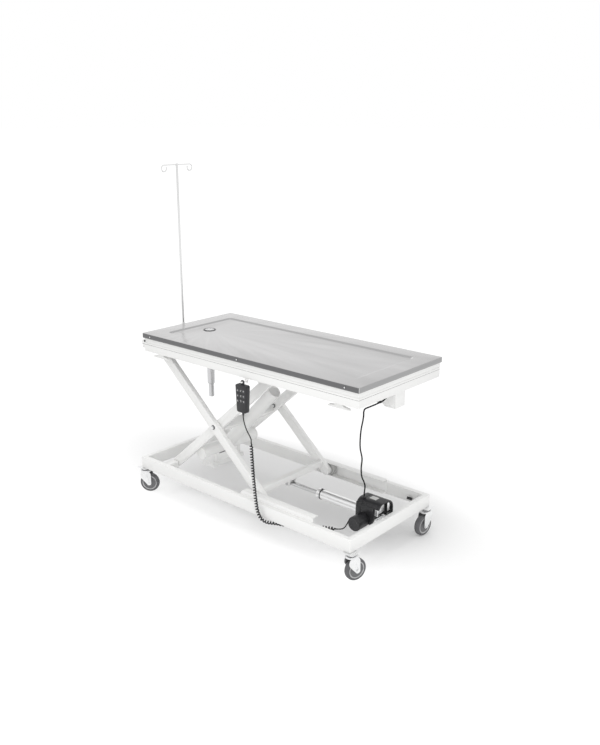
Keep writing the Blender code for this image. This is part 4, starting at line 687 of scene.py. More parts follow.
class Form:
    """A mesh in the making, to which shapes are added one after another.

    Each shape takes the number that `finish` holds when it is added as its finish on the piece.
    """

    def __init__(self) -> None:
        """Start empty, with the first finish."""
        self.bm = bmesh.new()
        self.finish = 0

    def add(self, mesh: Mesh, place: Matrix | None = None) -> Form:
        """Add a finished mesh as it is.

        Args:
            mesh: The mesh, which is used up.
            place: Where it goes.

        Returns:
            This form.
        """
        if place is not None:
            mesh.transform(place)
        self.bm.from_mesh(mesh)
        bpy.data.meshes.remove(mesh)
        return self

    def take(self, shape: BMesh, place: Matrix | None = None) -> Form:
        """Add a shape, its faces turned outward and given the finish.

        Args:
            shape: The shape, which is used up.
            place: Where it goes.

        Returns:
            This form.
        """
        bmesh.ops.recalc_face_normals(shape, faces=shape.faces)
        for face in shape.faces:
            face.material_index = self.finish
        mesh = bpy.data.meshes.new("shape")
        shape.to_mesh(mesh)
        shape.free()
        return self.add(mesh, place)

    def skin(self, shape: BMesh, pairs: Iterable[tuple[list, list]]) -> None:
        """Join rings of vertices by faces, also where a ring is a single point.

        Args:
            shape: The shape that the rings belong to.
            pairs: The rings that are joined, two by two.
        """
        for lower, upper in pairs:
            count = max(len(lower), len(upper))
            for i in range(count):
                j = (i + 1) % count
                corners = (lower[i % len(lower)], lower[j % len(lower)], upper[j % len(upper)],
                           upper[i % len(upper)])
                different = list(dict.fromkeys(corners))
                if len(different) > 2:
                    shape.faces.new(different)

    def box(self, low: Point, high: Point, edge: float, place: Matrix | None = None) -> Form:
        """Add a box with rounded edges.

        Args:
            low: Lowest corner.
            high: Highest corner.
            edge: Radius of its edges.
            place: Turn and move of the box.

        Returns:
            This form.
        """
        low, high = Vector(low), Vector(high)
        shape = bmesh.new()
        bmesh.ops.create_cube(shape, size=1.0)
        bmesh.ops.scale(shape, vec=high - low, verts=shape.verts)
        bmesh.ops.translate(shape, vec=(low + high) / 2, verts=shape.verts)
        bmesh.ops.bevel(shape, geom=shape.edges[:], offset=edge, segments=3, profile=0.5, affect="EDGES",
                        clamp_overlap=True)
        return self.take(shape, place)

    def turned(self, profile: Sequence[Pair], place: Matrix, steps: int) -> Form:
        """Add a solid of revolution about Z.

        Args:
            profile: Radius and height of each ring; it starts and ends on the axis, or closes on itself.
            place: Where it goes.
            steps: Steps round the axis.

        Returns:
            This form.
        """
        shape = bmesh.new()
        rings = []
        for radius, height in profile:
            count = steps if radius > ON_AXIS else 1
            rings.append([shape.verts.new((radius * math.cos(math.tau * i / steps),
                                           radius * math.sin(math.tau * i / steps), height))
                          for i in range(count)])
        pairs = list(zip(rings, rings[1:]))
        if profile[0][0] > ON_AXIS:
            pairs.append((rings[-1], rings[0]))
        self.skin(shape, pairs)
        return self.take(shape, place)

    def rod(self, start: Point, end: Point, radius: float, edge: float = 0.0006, steps: int = 32) -> Form:
        """Add a round bar with rounded ends.

        Args:
            start: Centre of one end.
            end: Centre of the other.
            radius: Its radius.
            edge: Rounding of its ends.
            steps: Steps round it.

        Returns:
            This form.
        """
        run = Vector(end) - Vector(start)
        profile = fillet([(0.0, run.length), (radius, run.length), (radius, 0.0), (0.0, 0.0)], edge, 3)
        return self.turned(profile, along(start, run), steps)

    def tube(self, points: Sequence[Point], radius: float, sides: int, domed: bool = False) -> Form:
        """Add a round solid along a line of points.

        Args:
            points: The line.
            radius: Radius of the solid.
            sides: Sides round it.
            domed: Whether its ends are round.

        Returns:
            This form.
        """
        line = [Vector(point) for point in points]
        sizes = [radius] * len(line)
        if domed:
            dome = (1.4, 1.0, 0.5)
            first, last = (line[0] - line[1]).normalized(), (line[-1] - line[-2]).normalized()
            head = [line[0] + first * radius * math.sin(a) for a in dome]
            tail = [line[-1] + last * radius * math.sin(a) for a in reversed(dome)]
            line = head + line + tail
            ends = [radius * math.cos(a) for a in dome]
            sizes = ends + sizes + ends[::-1]
        shape = bmesh.new()
        steep = abs((line[1] - line[0]).normalized().z) >= 0.9
        normal = Vector(BACKWARD if steep else UP)
        rings = []
        for i, (centre, size) in enumerate(zip(line, sizes)):
            run = (line[min(i + 1, len(line) - 1)] - line[max(i - 1, 0)]).normalized()
            normal = (normal - normal.dot(run) * run).normalized()
            across = run.cross(normal)
            rings.append([shape.verts.new(centre + size * (math.cos(math.tau * k / sides) * normal
                                                           + math.sin(math.tau * k / sides) * across))
                          for k in range(sides)])
        self.skin(shape, zip(rings, rings[1:]))
        shape.faces.new(rings[0])
        shape.faces.new(rings[-1])
        return self.take(shape)

    def plate(self, outline: Sequence[Pair], thickness: float, edge: float, place: Matrix,
              holes: Sequence[Sequence[Pair]] = ()) -> Form:
        """Add a flat plate in the XZ plane, centred on Y = 0, with rounded edges.

        Args:
            outline: Closed loop of (x, z) points.
            thickness: Its thickness.
            edge: Radius of its edges.
            place: Where it goes.
            holes: Loops cut out of it.

        Returns:
            This form.
        """
        curve = bpy.data.curves.new("plate", "CURVE")
        curve.dimensions = "2D"
        curve.fill_mode = "BOTH"
        curve.extrude = thickness / 2 - edge
        curve.bevel_depth = edge
        curve.bevel_resolution = 1
        curve.offset = -edge
        for points in (list(outline), *(list(hole)[::-1] for hole in holes)):
            spline = curve.splines.new("POLY")
            spline.points.add(len(points) - 1)
            for point, (x, z) in zip(spline.points, points):
                point.co = (x, z, 0.0, 1.0)
            spline.use_cyclic_u = True
        mesh = baked(curve)
        shape = bmesh.new()
        shape.from_mesh(mesh)
        bpy.data.meshes.remove(mesh)
        bmesh.ops.remove_doubles(shape, verts=shape.verts, dist=0.000002)
        return self.take(shape, place @ Matrix.Rotation(QUARTER, 4, "X"))

    def loft(self, rings: Sequence[Sequence[Point]]) -> Form:
        """Add an open surface through rings that have the same number of points.

        Args:
            rings: The rings.

        Returns:
            This form.
        """
        shape = bmesh.new()
        loops = [[shape.verts.new(point) for point in ring] for ring in rings]
        self.skin(shape, zip(loops, loops[1:]))
        return self.take(shape)

    def mesh(self) -> Mesh:
        """The finished mesh; the form is used up.

        Returns:
            The mesh.
        """
        mesh = bpy.data.meshes.new("form")
        self.bm.to_mesh(mesh)
        self.bm.free()
        return mesh


class GeometryTree(NodeMaker):
    """A geometry node tree with named sizes, whose result becomes a plain mesh."""

    smooth = SMOOTH

    def __init__(self, name: str) -> None:
        """Start a tree that takes places and gives what grows on them.

        Args:
            name: The tree's name.
        """
        super().__init__(bpy.data.node_groups.new(name, "GeometryNodeTree"))
        face = self.tree.interface
        face.new_socket("Places", in_out="INPUT", socket_type="NodeSocketGeometry")
        face.new_socket("Made", in_out="OUTPUT", socket_type="NodeSocketGeometry")
        self.finish_id = face.new_socket("Finish", in_out="INPUT",
                                         socket_type="NodeSocketMaterial").identifier
        self.entry = self.node("NodeGroupInput")
        self.exit = self.node("NodeGroupOutput")
        self.sizes: dict[str, str] = {}

    def size(self, name: str, value: float) -> Value:
        """Add a named size.

        Args:
            name: Its name on the tree.
            value: What it is unless it is set, a length or a whole number.

        Returns:
            The size as a value.
        """
        kind = "NodeSocketInt" if isinstance(value, int) else "NodeSocketFloat"
        socket = self.tree.interface.new_socket(name, in_out="INPUT", socket_type=kind)
        socket.default_value = value
        self.sizes[name] = socket.identifier
        return Value(self, self.entry.outputs[name])

    def cylinder(self, sides: int, radius: Value, depth: Value, middle: Value) -> NodeSocket:
        """Upright cylinder or prism whose middle lies at a height."""
        made = self.node("GeometryNodeMeshCylinder", {"Vertices": sides, "Radius": radius, "Depth": depth})
        return self.raised(made.outputs["Mesh"], middle)

    def raised(self, geometry: NodeSocket, height: Value) -> NodeSocket:
        """Geometry moved up its own axis."""
        move = self.node("ShaderNodeCombineXYZ", {"Z": height}).outputs[0]
        return self.node("GeometryNodeTransform", {"Geometry": geometry, "Translation": move}).outputs[0]

    def block(self, x: Value, y: Value, z: Value) -> NodeSocket:
        """Box with three sizes."""
        size = self.node("ShaderNodeCombineXYZ", {"X": x, "Y": y, "Z": z}).outputs[0]
        return self.node("GeometryNodeMeshCube", {"Size": size}).outputs["Mesh"]

    def on_places(self, instance: NodeSocket) -> NodeSocket:
        """Set a shape on every place, turned along its axis.

        Args:
            instance: The shape.

        Returns:
            The instances.
        """
        points = self.node("GeometryNodeMeshToPoints", {"Mesh": self.entry.outputs["Places"]})
        axis = self.node("GeometryNodeInputNamedAttribute", {"Name": "axis"}, data_type="FLOAT_VECTOR")
        turn = self.node("FunctionNodeAlignRotationToVector", {"Vector": axis.outputs[0]}, axis="Z")
        return self.node("GeometryNodeInstanceOnPoints", {"Points": points.outputs[0], "Instance": instance,
                                                          "Rotation": turn.outputs[0]}).outputs[0]

    def give(self, geometry: NodeSocket) -> None:
        """End the tree: real geometry with its finish.

        Args:
            geometry: What the tree made.
        """
        real = self.node("GeometryNodeRealizeInstances", {"Geometry": geometry})
        dressed = self.node("GeometryNodeSetMaterial", {"Geometry": real.outputs[0],
                                                        "Material": self.entry.outputs["Finish"]})
        self.feed(self.exit.inputs[0], dressed.outputs[0])

    def seed(self, places: Sequence[Place]) -> Mesh:
        """Loose points, each with the axis that the shape grown there points along.

        Args:
            places: Place and axis of each.

        Returns:
            A mesh of points with an axis attribute.
        """
        mesh = bpy.data.meshes.new("places")
        mesh.from_pydata([tuple(place) for place, _ in places], [], [])
        axes = mesh.attributes.new("axis", "FLOAT_VECTOR", "POINT")
        axes.data.foreach_set("vector", [x for _, axis in places for x in axis])
        return mesh

    def grow(self, places: Sequence[Any], finish: Material, sizes: dict[str, float]) -> Mesh:
        """Plain mesh of what grows on places, with a material and the sizes that differ from the tree's."""
        sockets = {self.finish_id: finish} | {self.sizes[name]: value for name, value in sizes.items()}
        return baked(self.seed(places), "NODES", sockets, node_group=self.tree)


class BoltTree(GeometryTree):
    """Hexagon bolt heads with a washer and a chamfered cap."""

    def __init__(self) -> None:
        """Build the tree."""
        super().__init__("hexagon_bolts")
        head = self.size("Head Radius", 0.0075)
        height = self.size("Head Height", 0.005)
        washer = self.size("Washer Radius", 0.011)
        sheet = self.size("Washer Thickness", 0.0015)
        dome = self.node("GeometryNodeMeshCone", {"Vertices": 24, "Radius Top": head * 0.55,
                                                  "Radius Bottom": head * 0.84, "Depth": height * 0.22})
        whole = self.node("GeometryNodeJoinGeometry")
        for part in (self.cylinder(28, washer, sheet, sheet * 0.5),
                     self.cylinder(6, head, height, sheet + height * 0.5),
                     self.raised(dome.outputs["Mesh"], sheet + height)):
            self.feed(whole.inputs[0], part)
        self.give(self.on_places(whole.outputs[0]))


class ScrewTree(GeometryTree):
    """Pan-head screws with a cross recess."""

    def __init__(self) -> None:
        """Build the tree."""
        super().__init__("pan_head_screws")
        radius = self.size("Head Radius", 0.004)
        height = self.size("Head Height", 0.0022)
        ball = self.node("GeometryNodeMeshUVSphere", {"Segments": 24, "Rings": 12, "Radius": 1.0})
        scale = self.node("ShaderNodeCombineXYZ", {"X": radius, "Y": radius, "Z": height})
        dome = self.node("GeometryNodeTransform", {"Geometry": ball.outputs["Mesh"],
                                                   "Scale": scale.outputs[0]})
        cut = self.node("GeometryNodeMeshBoolean", {"Mesh 1": dome.outputs[0]}, operation="DIFFERENCE")
        long, short = 1.1, 0.26
        for x, y in ((long, short), (short, long)):
            bar = self.block(radius * x, radius * y, height * long)
            self.feed(cut.inputs["Mesh 2"], self.raised(bar, height))
        self.give(self.on_places(cut.outputs["Mesh"]))


class BeadTree(GeometryTree):
    """Weld bead: overlapping ripples along a line."""

    smooth = 80.0

    def __init__(self) -> None:
        """Build the tree."""
        super().__init__("weld_beads")
        radius = self.size("Bead Radius", 0.0026)
        pitch = self.size("Pitch", 0.0024)
        curve = self.node("GeometryNodeMeshToCurve", {"Mesh": self.entry.outputs["Places"]})
        points = self.node("GeometryNodeCurveToPoints", {"Curve": curve.outputs[0], "Length": pitch},
                           mode="LENGTH")
        drop = self.node("GeometryNodeMeshUVSphere", {"Segments": 10, "Rings": 6, "Radius": radius})
        made = self.node("GeometryNodeInstanceOnPoints",
                         {"Points": points.outputs["Points"], "Instance": drop.outputs["Mesh"],
                          "Rotation": points.outputs["Rotation"]})
        self.give(made.outputs[0])

    def seed(self, places: Sequence[Sequence[Point]]) -> Mesh:
        """Lines of edges through points.

        Args:
            places: The points of each line.

        Returns:
            A mesh of edges.
        """
        points: list[Point] = []
        edges: list[tuple[int, int]] = []
        for path in places:
            edges += [(len(points) + i, len(points) + i + 1) for i in range(len(path) - 1)]
            points += [tuple(point) for point in path]
        mesh = bpy.data.meshes.new("paths")
        mesh.from_pydata(points, edges, [])
        return mesh


class RibTree(GeometryTree):
    """Ribs standing round an axis, as on a grip or a motor."""

    def __init__(self) -> None:
        """Build the tree."""
        super().__init__("radial_ribs")
        ring = self.size("Ring Radius", 0.015)
        width = self.size("Rib Width", 0.0016)
        depth = self.size("Rib Depth", 0.0016)
        length = self.size("Rib Length", 0.010)
        count = self.size("Count", 24)
        posts = self.node("GeometryNodeMeshCircle", {"Vertices": count, "Radius": ring})
        place = self.node("GeometryNodeInputPosition")
        turn = self.node("FunctionNodeAlignRotationToVector", {"Vector": place.outputs[0]}, axis="X")
        ribs = self.node("GeometryNodeInstanceOnPoints",
                         {"Points": posts.outputs["Mesh"], "Instance": self.block(depth, width, length),
                          "Rotation": turn.outputs[0]})
        self.give(self.on_places(ribs.outputs[0]))


class Workshop:
    """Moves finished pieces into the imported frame, dresses them and lets them ride."""

    def __init__(self, frame: dict[str, Any]) -> None:
        """Find where the table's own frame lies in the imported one.

        Args:
            frame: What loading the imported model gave.
        """
        self.nodes: dict[str, Object] = frame["nodes"]
        low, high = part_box("steel_top")
        self.shift = Vector((low.x, (low.y + high.y) / 2, 0.0))
        self.made: dict[str, Material] = {}
        self.bolts = BoltTree()
        self.screws = ScrewTree()
        self.beads = BeadTree()
        self.ribs = RibTree()

    def place(self, point: Point) -> Vector:
        """A point of the table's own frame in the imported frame."""
        return Vector(point) + self.shift

    def material(self, finish: Finish) -> Material:
        """The material of a finish, made once.

        Args:
            finish: The finish.

        Returns:
            Its material.
        """
        if finish.name not in self.made:
            self.made[finish.name] = finish.make()
        return self.made[finish.name]

    def piece(self, name: str, shape: Form | Mesh, body: str, finishes: Sequence[Finish] = (),
              stands_for: str = "", packed: bool = False, smooth: float = SMOOTH) -> Object:
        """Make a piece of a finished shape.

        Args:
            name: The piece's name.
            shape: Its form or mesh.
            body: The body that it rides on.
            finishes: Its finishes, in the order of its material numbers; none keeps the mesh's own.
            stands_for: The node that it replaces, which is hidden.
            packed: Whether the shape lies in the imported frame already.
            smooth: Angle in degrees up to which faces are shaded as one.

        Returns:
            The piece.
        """
        mesh = shape.mesh() if isinstance(shape, Form) else shape
        if not packed:
            mesh.transform(Matrix.Translation(self.shift))
        for finish in finishes:
            mesh.materials.append(self.material(finish))
        mesh.shade_smooth()
        mesh.set_sharp_from_angle(angle=math.radians(smooth))
        mesh.name = name
        piece = linked(name, mesh)
        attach(piece, body)
        if stands_for:
            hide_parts(stands_for)
        LOG.info("%s rides on %s, %d faces", name, body, len(mesh.polygons))
        return piece

    def soften(self, node: str, body: str, finish: Finish, edge: float) -> None:
        """Replace a node by a copy with rounded edges.

        Args:
            node: The node.
            body: Its body.
            finish: Its finish.
            edge: Radius of the edges.
        """
        shape = bmesh.new()
        shape.from_mesh(self.nodes[node].data)
        bmesh.ops.remove_doubles(shape, verts=shape.verts, dist=0.00002)
        bmesh.ops.dissolve_limit(shape, angle_limit=math.radians(1.0), verts=shape.verts, edges=shape.edges)
        mesh = bpy.data.meshes.new(node)
        shape.to_mesh(mesh)
        shape.free()
        mesh = baked(mesh, "BEVEL", width=edge, segments=2, limit_method="ANGLE",
                     angle_limit=math.radians(40), use_clamp_overlap=True)
        self.piece(f"{node}_dressed", mesh, body, [finish], node, packed=True)

    def grow(self, name: str, body: str, tree: GeometryTree, places: Sequence[Any], finish: Finish,
             **sizes: float) -> None:
        """Add what a tree grows on places as one piece, the tree's sizes spelled with underscores."""
        named = {key.replace("_", " "): value for key, value in sizes.items()}
        self.piece(name, tree.grow(places, self.material(finish), named), body, smooth=tree.smooth)

    def ringed_bolt(self, name: str, body: str, places: Sequence[Place], ring: float, head: float) -> None:
        """Add bright bolts on dark washers.

        Args:
            name: First part of the two pieces' names.
            body: The body that they ride on.
            places: Place and axis of each bolt.
            ring: Radius of the washers.
            head: Radius of the heads.
        """
        washers = Form()
        for start, axis in places:
            washers.turned(fillet([(0.0, 0.0024), (ring - 0.001, 0.0024), (ring, 0.0014), (ring, 0.0),
                                   (0.0, 0.0)], 0.0005, 2), along(start, axis), 36)
        self.piece(f"{name}_washers", washers, body, [Finishes.BOLT])
        raised = [(Vector(start) + 0.0022 * Vector(axis), axis) for start, axis in places]
        self.grow(f"{name}_heads", body, self.bolts, raised, Finishes.ZINC, Head_Radius=head,
                  Head_Height=0.0045, Washer_Radius=head + 0.0004, Washer_Thickness=0.0006)


@dataclass
class Assembly:
    """A sub-assembly whose pieces the workshop dresses."""

    shop: Workshop

    def soften(self, *rows: tuple[str, str, Finish, float]) -> None:
        """Round the edges of nodes; a row has a node, its body, its finish and the radius."""
        for row in rows:
            self.shop.soften(*row)

    def build(self) -> None:
        """Make every piece."""
        raise NotImplementedError


@dataclass
class Studio(Assembly):
    """Camera, floor, lamps and the white surroundings.

    The floor's own glow grows to the whole between the two distances of `fade`, measured from a spot that
    is drifted and spread. A lamp has a name, a place, a target, a side and a power in watts.
    """

    eye: Point = (3.196, -2.754, 1.8565)
    azimuth: float = 41.4
    pitch: float = 16.8
    lens: float = 49.72
    sensor: float = 36.0
    sight: float = 500.0
    floor_half: float = 200.0
    floor_grey: float = 0.82
    ambient: float = 0.90
    glow: float = 0.06
    glow_strength: float = 1.10
    spread: Point = (1.0, 2.4, 1.0)
    drift: Point = (0.20, -0.62, 0.0)
    fade: Pair = (0.80, 1.50)
    lamps: tuple = (("overhead", (0.5, -1.2, 4.4), (0.0, 0.0, 0.5), 1.8, 46.0),
                    ("front_fill", (5.4, -4.2, 1.2), (0.0, 0.0, 0.4), 3.4, 95.0))

    def camera(self) -> None:
        """Set the camera at the photograph's angle."""
        data = bpy.data.cameras.new("camera")
        data.sensor_width = self.sensor
        data.sensor_fit = "HORIZONTAL"
        data.lens = self.lens
        data.clip_end = self.sight
        turn, down = math.radians(self.azimuth), math.radians(self.pitch)
        ahead = Vector((-math.sin(turn) * math.cos(down), math.cos(turn) * math.cos(down), -math.sin(down)))
        camera = linked("camera", data)
        camera.location = self.shop.place(self.eye)
        camera.rotation_euler = ahead.to_track_quat("-Z", "Y").to_euler()
        bpy.context.scene.camera = camera

    def seen(self, maker: NodeMaker) -> Value:
        """One on rays from the camera, a mirror or through glass, else nought.

        Args:
            maker: What adds the nodes.

        Returns:
            The value.
        """
        path = maker.node("ShaderNodeLightPath")
        kinds = ("Is Camera Ray", "Is Glossy Ray", "Is Transmission Ray")
        first, second, third = (Value(maker, path.outputs[kind]) for kind in kinds)
        return (first + second + third) > 0.5

    def world(self) -> None:
        """White surroundings that light the table softly."""
        world = bpy.data.worlds.new("studio")
        bpy.context.scene.world = world
        maker = NodeMaker(emptied(world))
        strength = self.seen(maker) * (1.0 - self.ambient) + self.ambient
        light = maker.node("ShaderNodeBackground", {"Color": WHITE_LIGHT, "Strength": strength})
        maker.node("ShaderNodeOutputWorld", {"Surface": light.outputs[0]})

    def floor(self) -> None:
        """Pale floor that fades into the surroundings and keeps the table's shadow."""
        half = self.floor_half
        mesh = bpy.data.meshes.new("floor")
        mesh.from_pydata([(-half, -half, 0.0), (half, -half, 0.0), (half, half, 0.0), (-half, half, 0.0)],
                         [], [(0, 1, 2, 3)])
        material = bpy.data.materials.new("studio_floor")
        maker = NodeMaker(emptied(material))
        matt = maker.node("ShaderNodeBsdfDiffuse", {"Color": (*[self.floor_grey] * 3, 1.0)})
        glow = maker.node("ShaderNodeEmission", {"Color": WHITE_LIGHT, "Strength": self.glow_strength})
        coords = maker.node("ShaderNodeTexCoord").outputs["Object"]
        spot = maker.node("ShaderNodeMapping", {"Vector": coords, "Scale": self.spread,
                                                "Location": self.drift})
        away = maker.node("ShaderNodeVectorMath", {0: spot.outputs["Vector"]}, operation="LENGTH")
        near, far = self.fade
        share = maker.node("ShaderNodeMapRange", {"Value": away.outputs["Value"], "From Min": near,
                                                  "From Max": far, "To Min": self.glow, "To Max": 1.0})
        factor = self.seen(maker) * Value(maker, share.outputs["Result"])
        mixed = maker.node("ShaderNodeMixShader", {0: factor, 1: matt.outputs[0], 2: glow.outputs[0]})
        maker.node("ShaderNodeOutputMaterial", {"Surface": mixed.outputs[0]})
        mesh.materials.append(material)
        floor = linked("floor", mesh)

    def hang_lamps(self) -> None:
        """Hang the soft boxes, which no mirror shows."""
        for name, place, target, size, power in self.lamps:
            data = bpy.data.lights.new(name, "AREA")
            data.shape = "SQUARE"
            data.size = size
            data.energy = power
            lamp = linked(name, data)
            lamp.location = place
            lamp.rotation_euler = (Vector(target) - Vector(place)).to_track_quat("-Z", "Y").to_euler()
            lamp.visible_glossy = False

    def build(self) -> None:
        """Set up the whole studio."""
        self.camera()
        self.world()
        self.floor()
        self.hang_lamps()
        bpy.context.scene.view_settings.view_transform = "Standard"


@dataclass
class Cords(Assembly):
    """Handset cord with its curls, and the cable from the lift motor to the tilt actuator.

    The curls loosen below `split_height` over the height `loosening`, and widen along X from the first
    number of `widening` over the second.
    """

    cord_radius: float = 0.0025
    coil_radius: float = 0.0028
    cable_radius: float = 0.0032
    hang_curl: float = 0.0058
    run_curl: float = 0.0074
    hang_pitch: float = 0.0130
    run_pitch: float = 0.0134
    curl_points: int = 14
    coil_steps: int = 6000
    span_steps: int = 24
    cord_steps: int = 24
    cable_steps: int = 36
    split_height: float = 0.180
    loosening: float = 0.050
    widening: Pair = (0.93, 0.06)
    lean: Point = (0.0625, 0.0, 0.998)
    coil_keep: float = 0.4205
    cable_keep: float = 0.6202
    lead: tuple = ((0.711, -0.317, 0.6085), (0.711, -0.317, 0.602), (0.715, -0.3175, 0.582),
                   (0.730, -0.319, 0.550), (0.751, -0.320, 0.524), (0.761, -0.320, 0.508),
                   (0.761, -0.320, 0.498))
    coil: tuple = ((0.761, -0.320, 0.4976), (0.763, -0.3205, 0.450), (0.769, -0.321, 0.365),
                   (0.777, -0.322, 0.290), (0.785, -0.322, 0.225), (0.7915, -0.3215, 0.183),
                   (0.801, -0.319, 0.152), (0.812, -0.313, 0.133), (0.8285, -0.308, 0.1255),
                   (0.8535, -0.303, 0.1245), (0.881, -0.2885, 0.1245), (0.910, -0.277, 0.1245),
                   (0.950, -0.2535, 0.1245), (1.000, -0.2225, 0.1245), (1.0615, -0.1835, 0.1245),
                   (1.095, -0.1655, 0.1245), (1.124, -0.147, 0.125))
    motor: tuple = ((1.1244, -0.1466, 0.125), (1.1315, -0.1405, 0.1252), (1.1395, -0.1311, 0.1275),
                    (1.144, -0.1216, 0.1345), (1.1468, -0.1137, 0.145), (1.150, -0.1087, 0.157),
                    (1.156, -0.1083, 0.165), (1.1634, -0.1083, 0.165))
    rise: tuple = ((1.176, -0.030, 0.2625), (1.176, -0.030, 0.2735), (1.1813, -0.034, 0.3177),
                   (1.1825, -0.060, 0.3676), (1.193, -0.0793, 0.4184), (1.2088, -0.096, 0.4712),
                   (1.2185, -0.1236, 0.5287), (1.2368, -0.1493, 0.5863), (1.262, -0.1773, 0.6439),
                   (1.2898, -0.205, 0.6918), (1.3045, -0.220, 0.7225), (1.3055, -0.2215, 0.7355))
    run: tuple = ((1.3055, -0.2215, 0.7359), (1.3055, -0.2215, 0.7392), (1.3056, -0.2178, 0.7475),
                  (1.306, -0.2085, 0.7512), (1.307, -0.180, 0.7516), (1.307, -0.140, 0.7518),
                  (1.306, -0.100, 0.7528), (1.304, -0.076, 0.756), (1.302, -0.058, 0.7622),
                  (1.301, -0.045, 0.766), (1.301, -0.0354, 0.766))

    def smooth(self, points: Sequence[Point], count: int) -> list[Vector]:
        """Evenly spaced points on a smooth curve through a route.

        Args:
            points: The route.
            count: Number of steps.

        Returns:
            The points, both ends included.
        """
        route = [Vector(point) for point in points]
        ends = [2 * route[0] - route[1]] + route + [2 * route[-1] - route[-2]]
        dense = []
        for a, b, c, d in zip(ends, ends[1:], ends[2:], ends[3:]):
            for i in range(self.span_steps):
                t = i / self.span_steps
                dense.append(0.5 * (2 * b + (c - a) * t + (2 * a - 5 * b + 4 * c - d) * t ** 2
                                    + (3 * b - a - 3 * c + d) * t ** 3))
        dense.append(route[-1])
        lengths = [0.0]
        for a, b in zip(dense, dense[1:]):
            lengths.append(lengths[-1] + (b - a).length)
        path, j = [], 0
        for i in range(count + 1):
            wanted = lengths[-1] * i / count
            while j < len(dense) - 2 and lengths[j + 1] < wanted:
                j += 1
            span = lengths[j + 1] - lengths[j]
            path.append(dense[j].lerp(dense[j + 1], (wanted - lengths[j]) / span))
        return path

    def plain(self, route: Sequence[Point], count: int) -> list[Vector]:
        """Points of a plain cord whose first and last stretch run straight."""
        return [Vector(route[0])] + self.smooth(route[1:-1], count) + [Vector(route[-1])]

    def curled(self) -> tuple[list[Vector], int]:
        """Points of the curly cord, which winds about its route, tightly where it hangs, and ends straight.

        Returns:
            The points of its centre line, and the number of the point where it stops hanging.
        """
        count = self.coil_steps
        line = self.smooth(self.coil, count)
        step = (line[1] - line[0]).length
        total = step * count
        straight = 4 * self.cord_radius
        wide_from, wide_over = self.widening
        normal = Vector(BACKWARD)
        points, split, turns, marks = [], 0, 0.0, 0
        for i, centre in enumerate(line):
            run = (line[min(i + 1, count)] - line[max(i - 1, 0)]).normalized()
            normal = (normal - normal.dot(run) * run).normalized()
            loose = clamped((self.split_height - centre.z) / self.loosening)
            turns += step / (self.hang_pitch + (self.run_pitch - self.hang_pitch) * loose)
            due = turns * self.curl_points - marks
            if due < (-0.5 if i == count else 0.0):
                continue
            marks += 1
            across = run.cross(normal)
            wide = clamped((centre.x - wide_from) / wide_over)
            curl = self.hang_curl + (self.run_curl - self.hang_curl) * wide
            grow = clamped((min(step * i, total - step * i) - straight) / (2 * curl))
            angle = math.tau * turns
            points.append(centre + curl * grow * (math.cos(angle) * normal + math.sin(angle) * across))
            if centre.z > self.split_height:
                split = len(points)
        return points, split

    def lay(self, name: str, path: Sequence[Vector], radius: float, body: str, stands_for: str, held: str,
            stiffness: str = "limp", sides: int = 12) -> Object:
        """Args:
            name: Name of the piece.
            path: Its centre line, from where it leaves.
            radius: Half of its diameter.
            body: The body that it rides on.
            stands_for: The node that it replaces.
            held: How it lies; not used.
            stiffness: How stiff it is; not used.
            sides: Sides round it.

        Returns:
            The piece.
        """
        piece = self.shop.piece(name, Form().tube(path, radius, sides), body, [Finishes.CORD], stands_for,
                                smooth=70.0)
        placed = [self.shop.place(point) for point in path]
        return piece

    def build(self) -> None:
        """Lay every cord."""
        place = self.shop.place
        self.lay("handset_lead_cord", self.plain(self.lead, self.cord_steps), self.cord_radius,
                 "lift_frame", "handset_lead", "hanging")
        curls, split = self.curled()
        hang, _ = (self.lay(name, path, self.coil_radius, "base", "handset_coil", "coiled", sides=10)
                   for name, path in (("handset_coil_hang", curls[:split + 1]),
                                      ("handset_coil_run", curls[split:])))
        tuple(place(curls[split]))
        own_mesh(hang)
        self.lay("motor_lead_cord", self.plain(self.motor, self.cord_steps), self.cord_radius, "base",
                 "motor_lead", "loose")
        rise = self.lay("tilt_cable_rise_cord", self.plain(self.rise, self.cable_steps), self.cable_radius,
                        "base", "tilt_cable_rise", "hanging", "medium", 14)
        tuple(place(self.rise[0]))
        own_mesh(rise)
        self.lay("tilt_cable_run_cord", self.plain(self.run, self.cable_steps), self.cable_radius,
                 "lift_frame", "tilt_cable_run", "loose", "medium", 14)


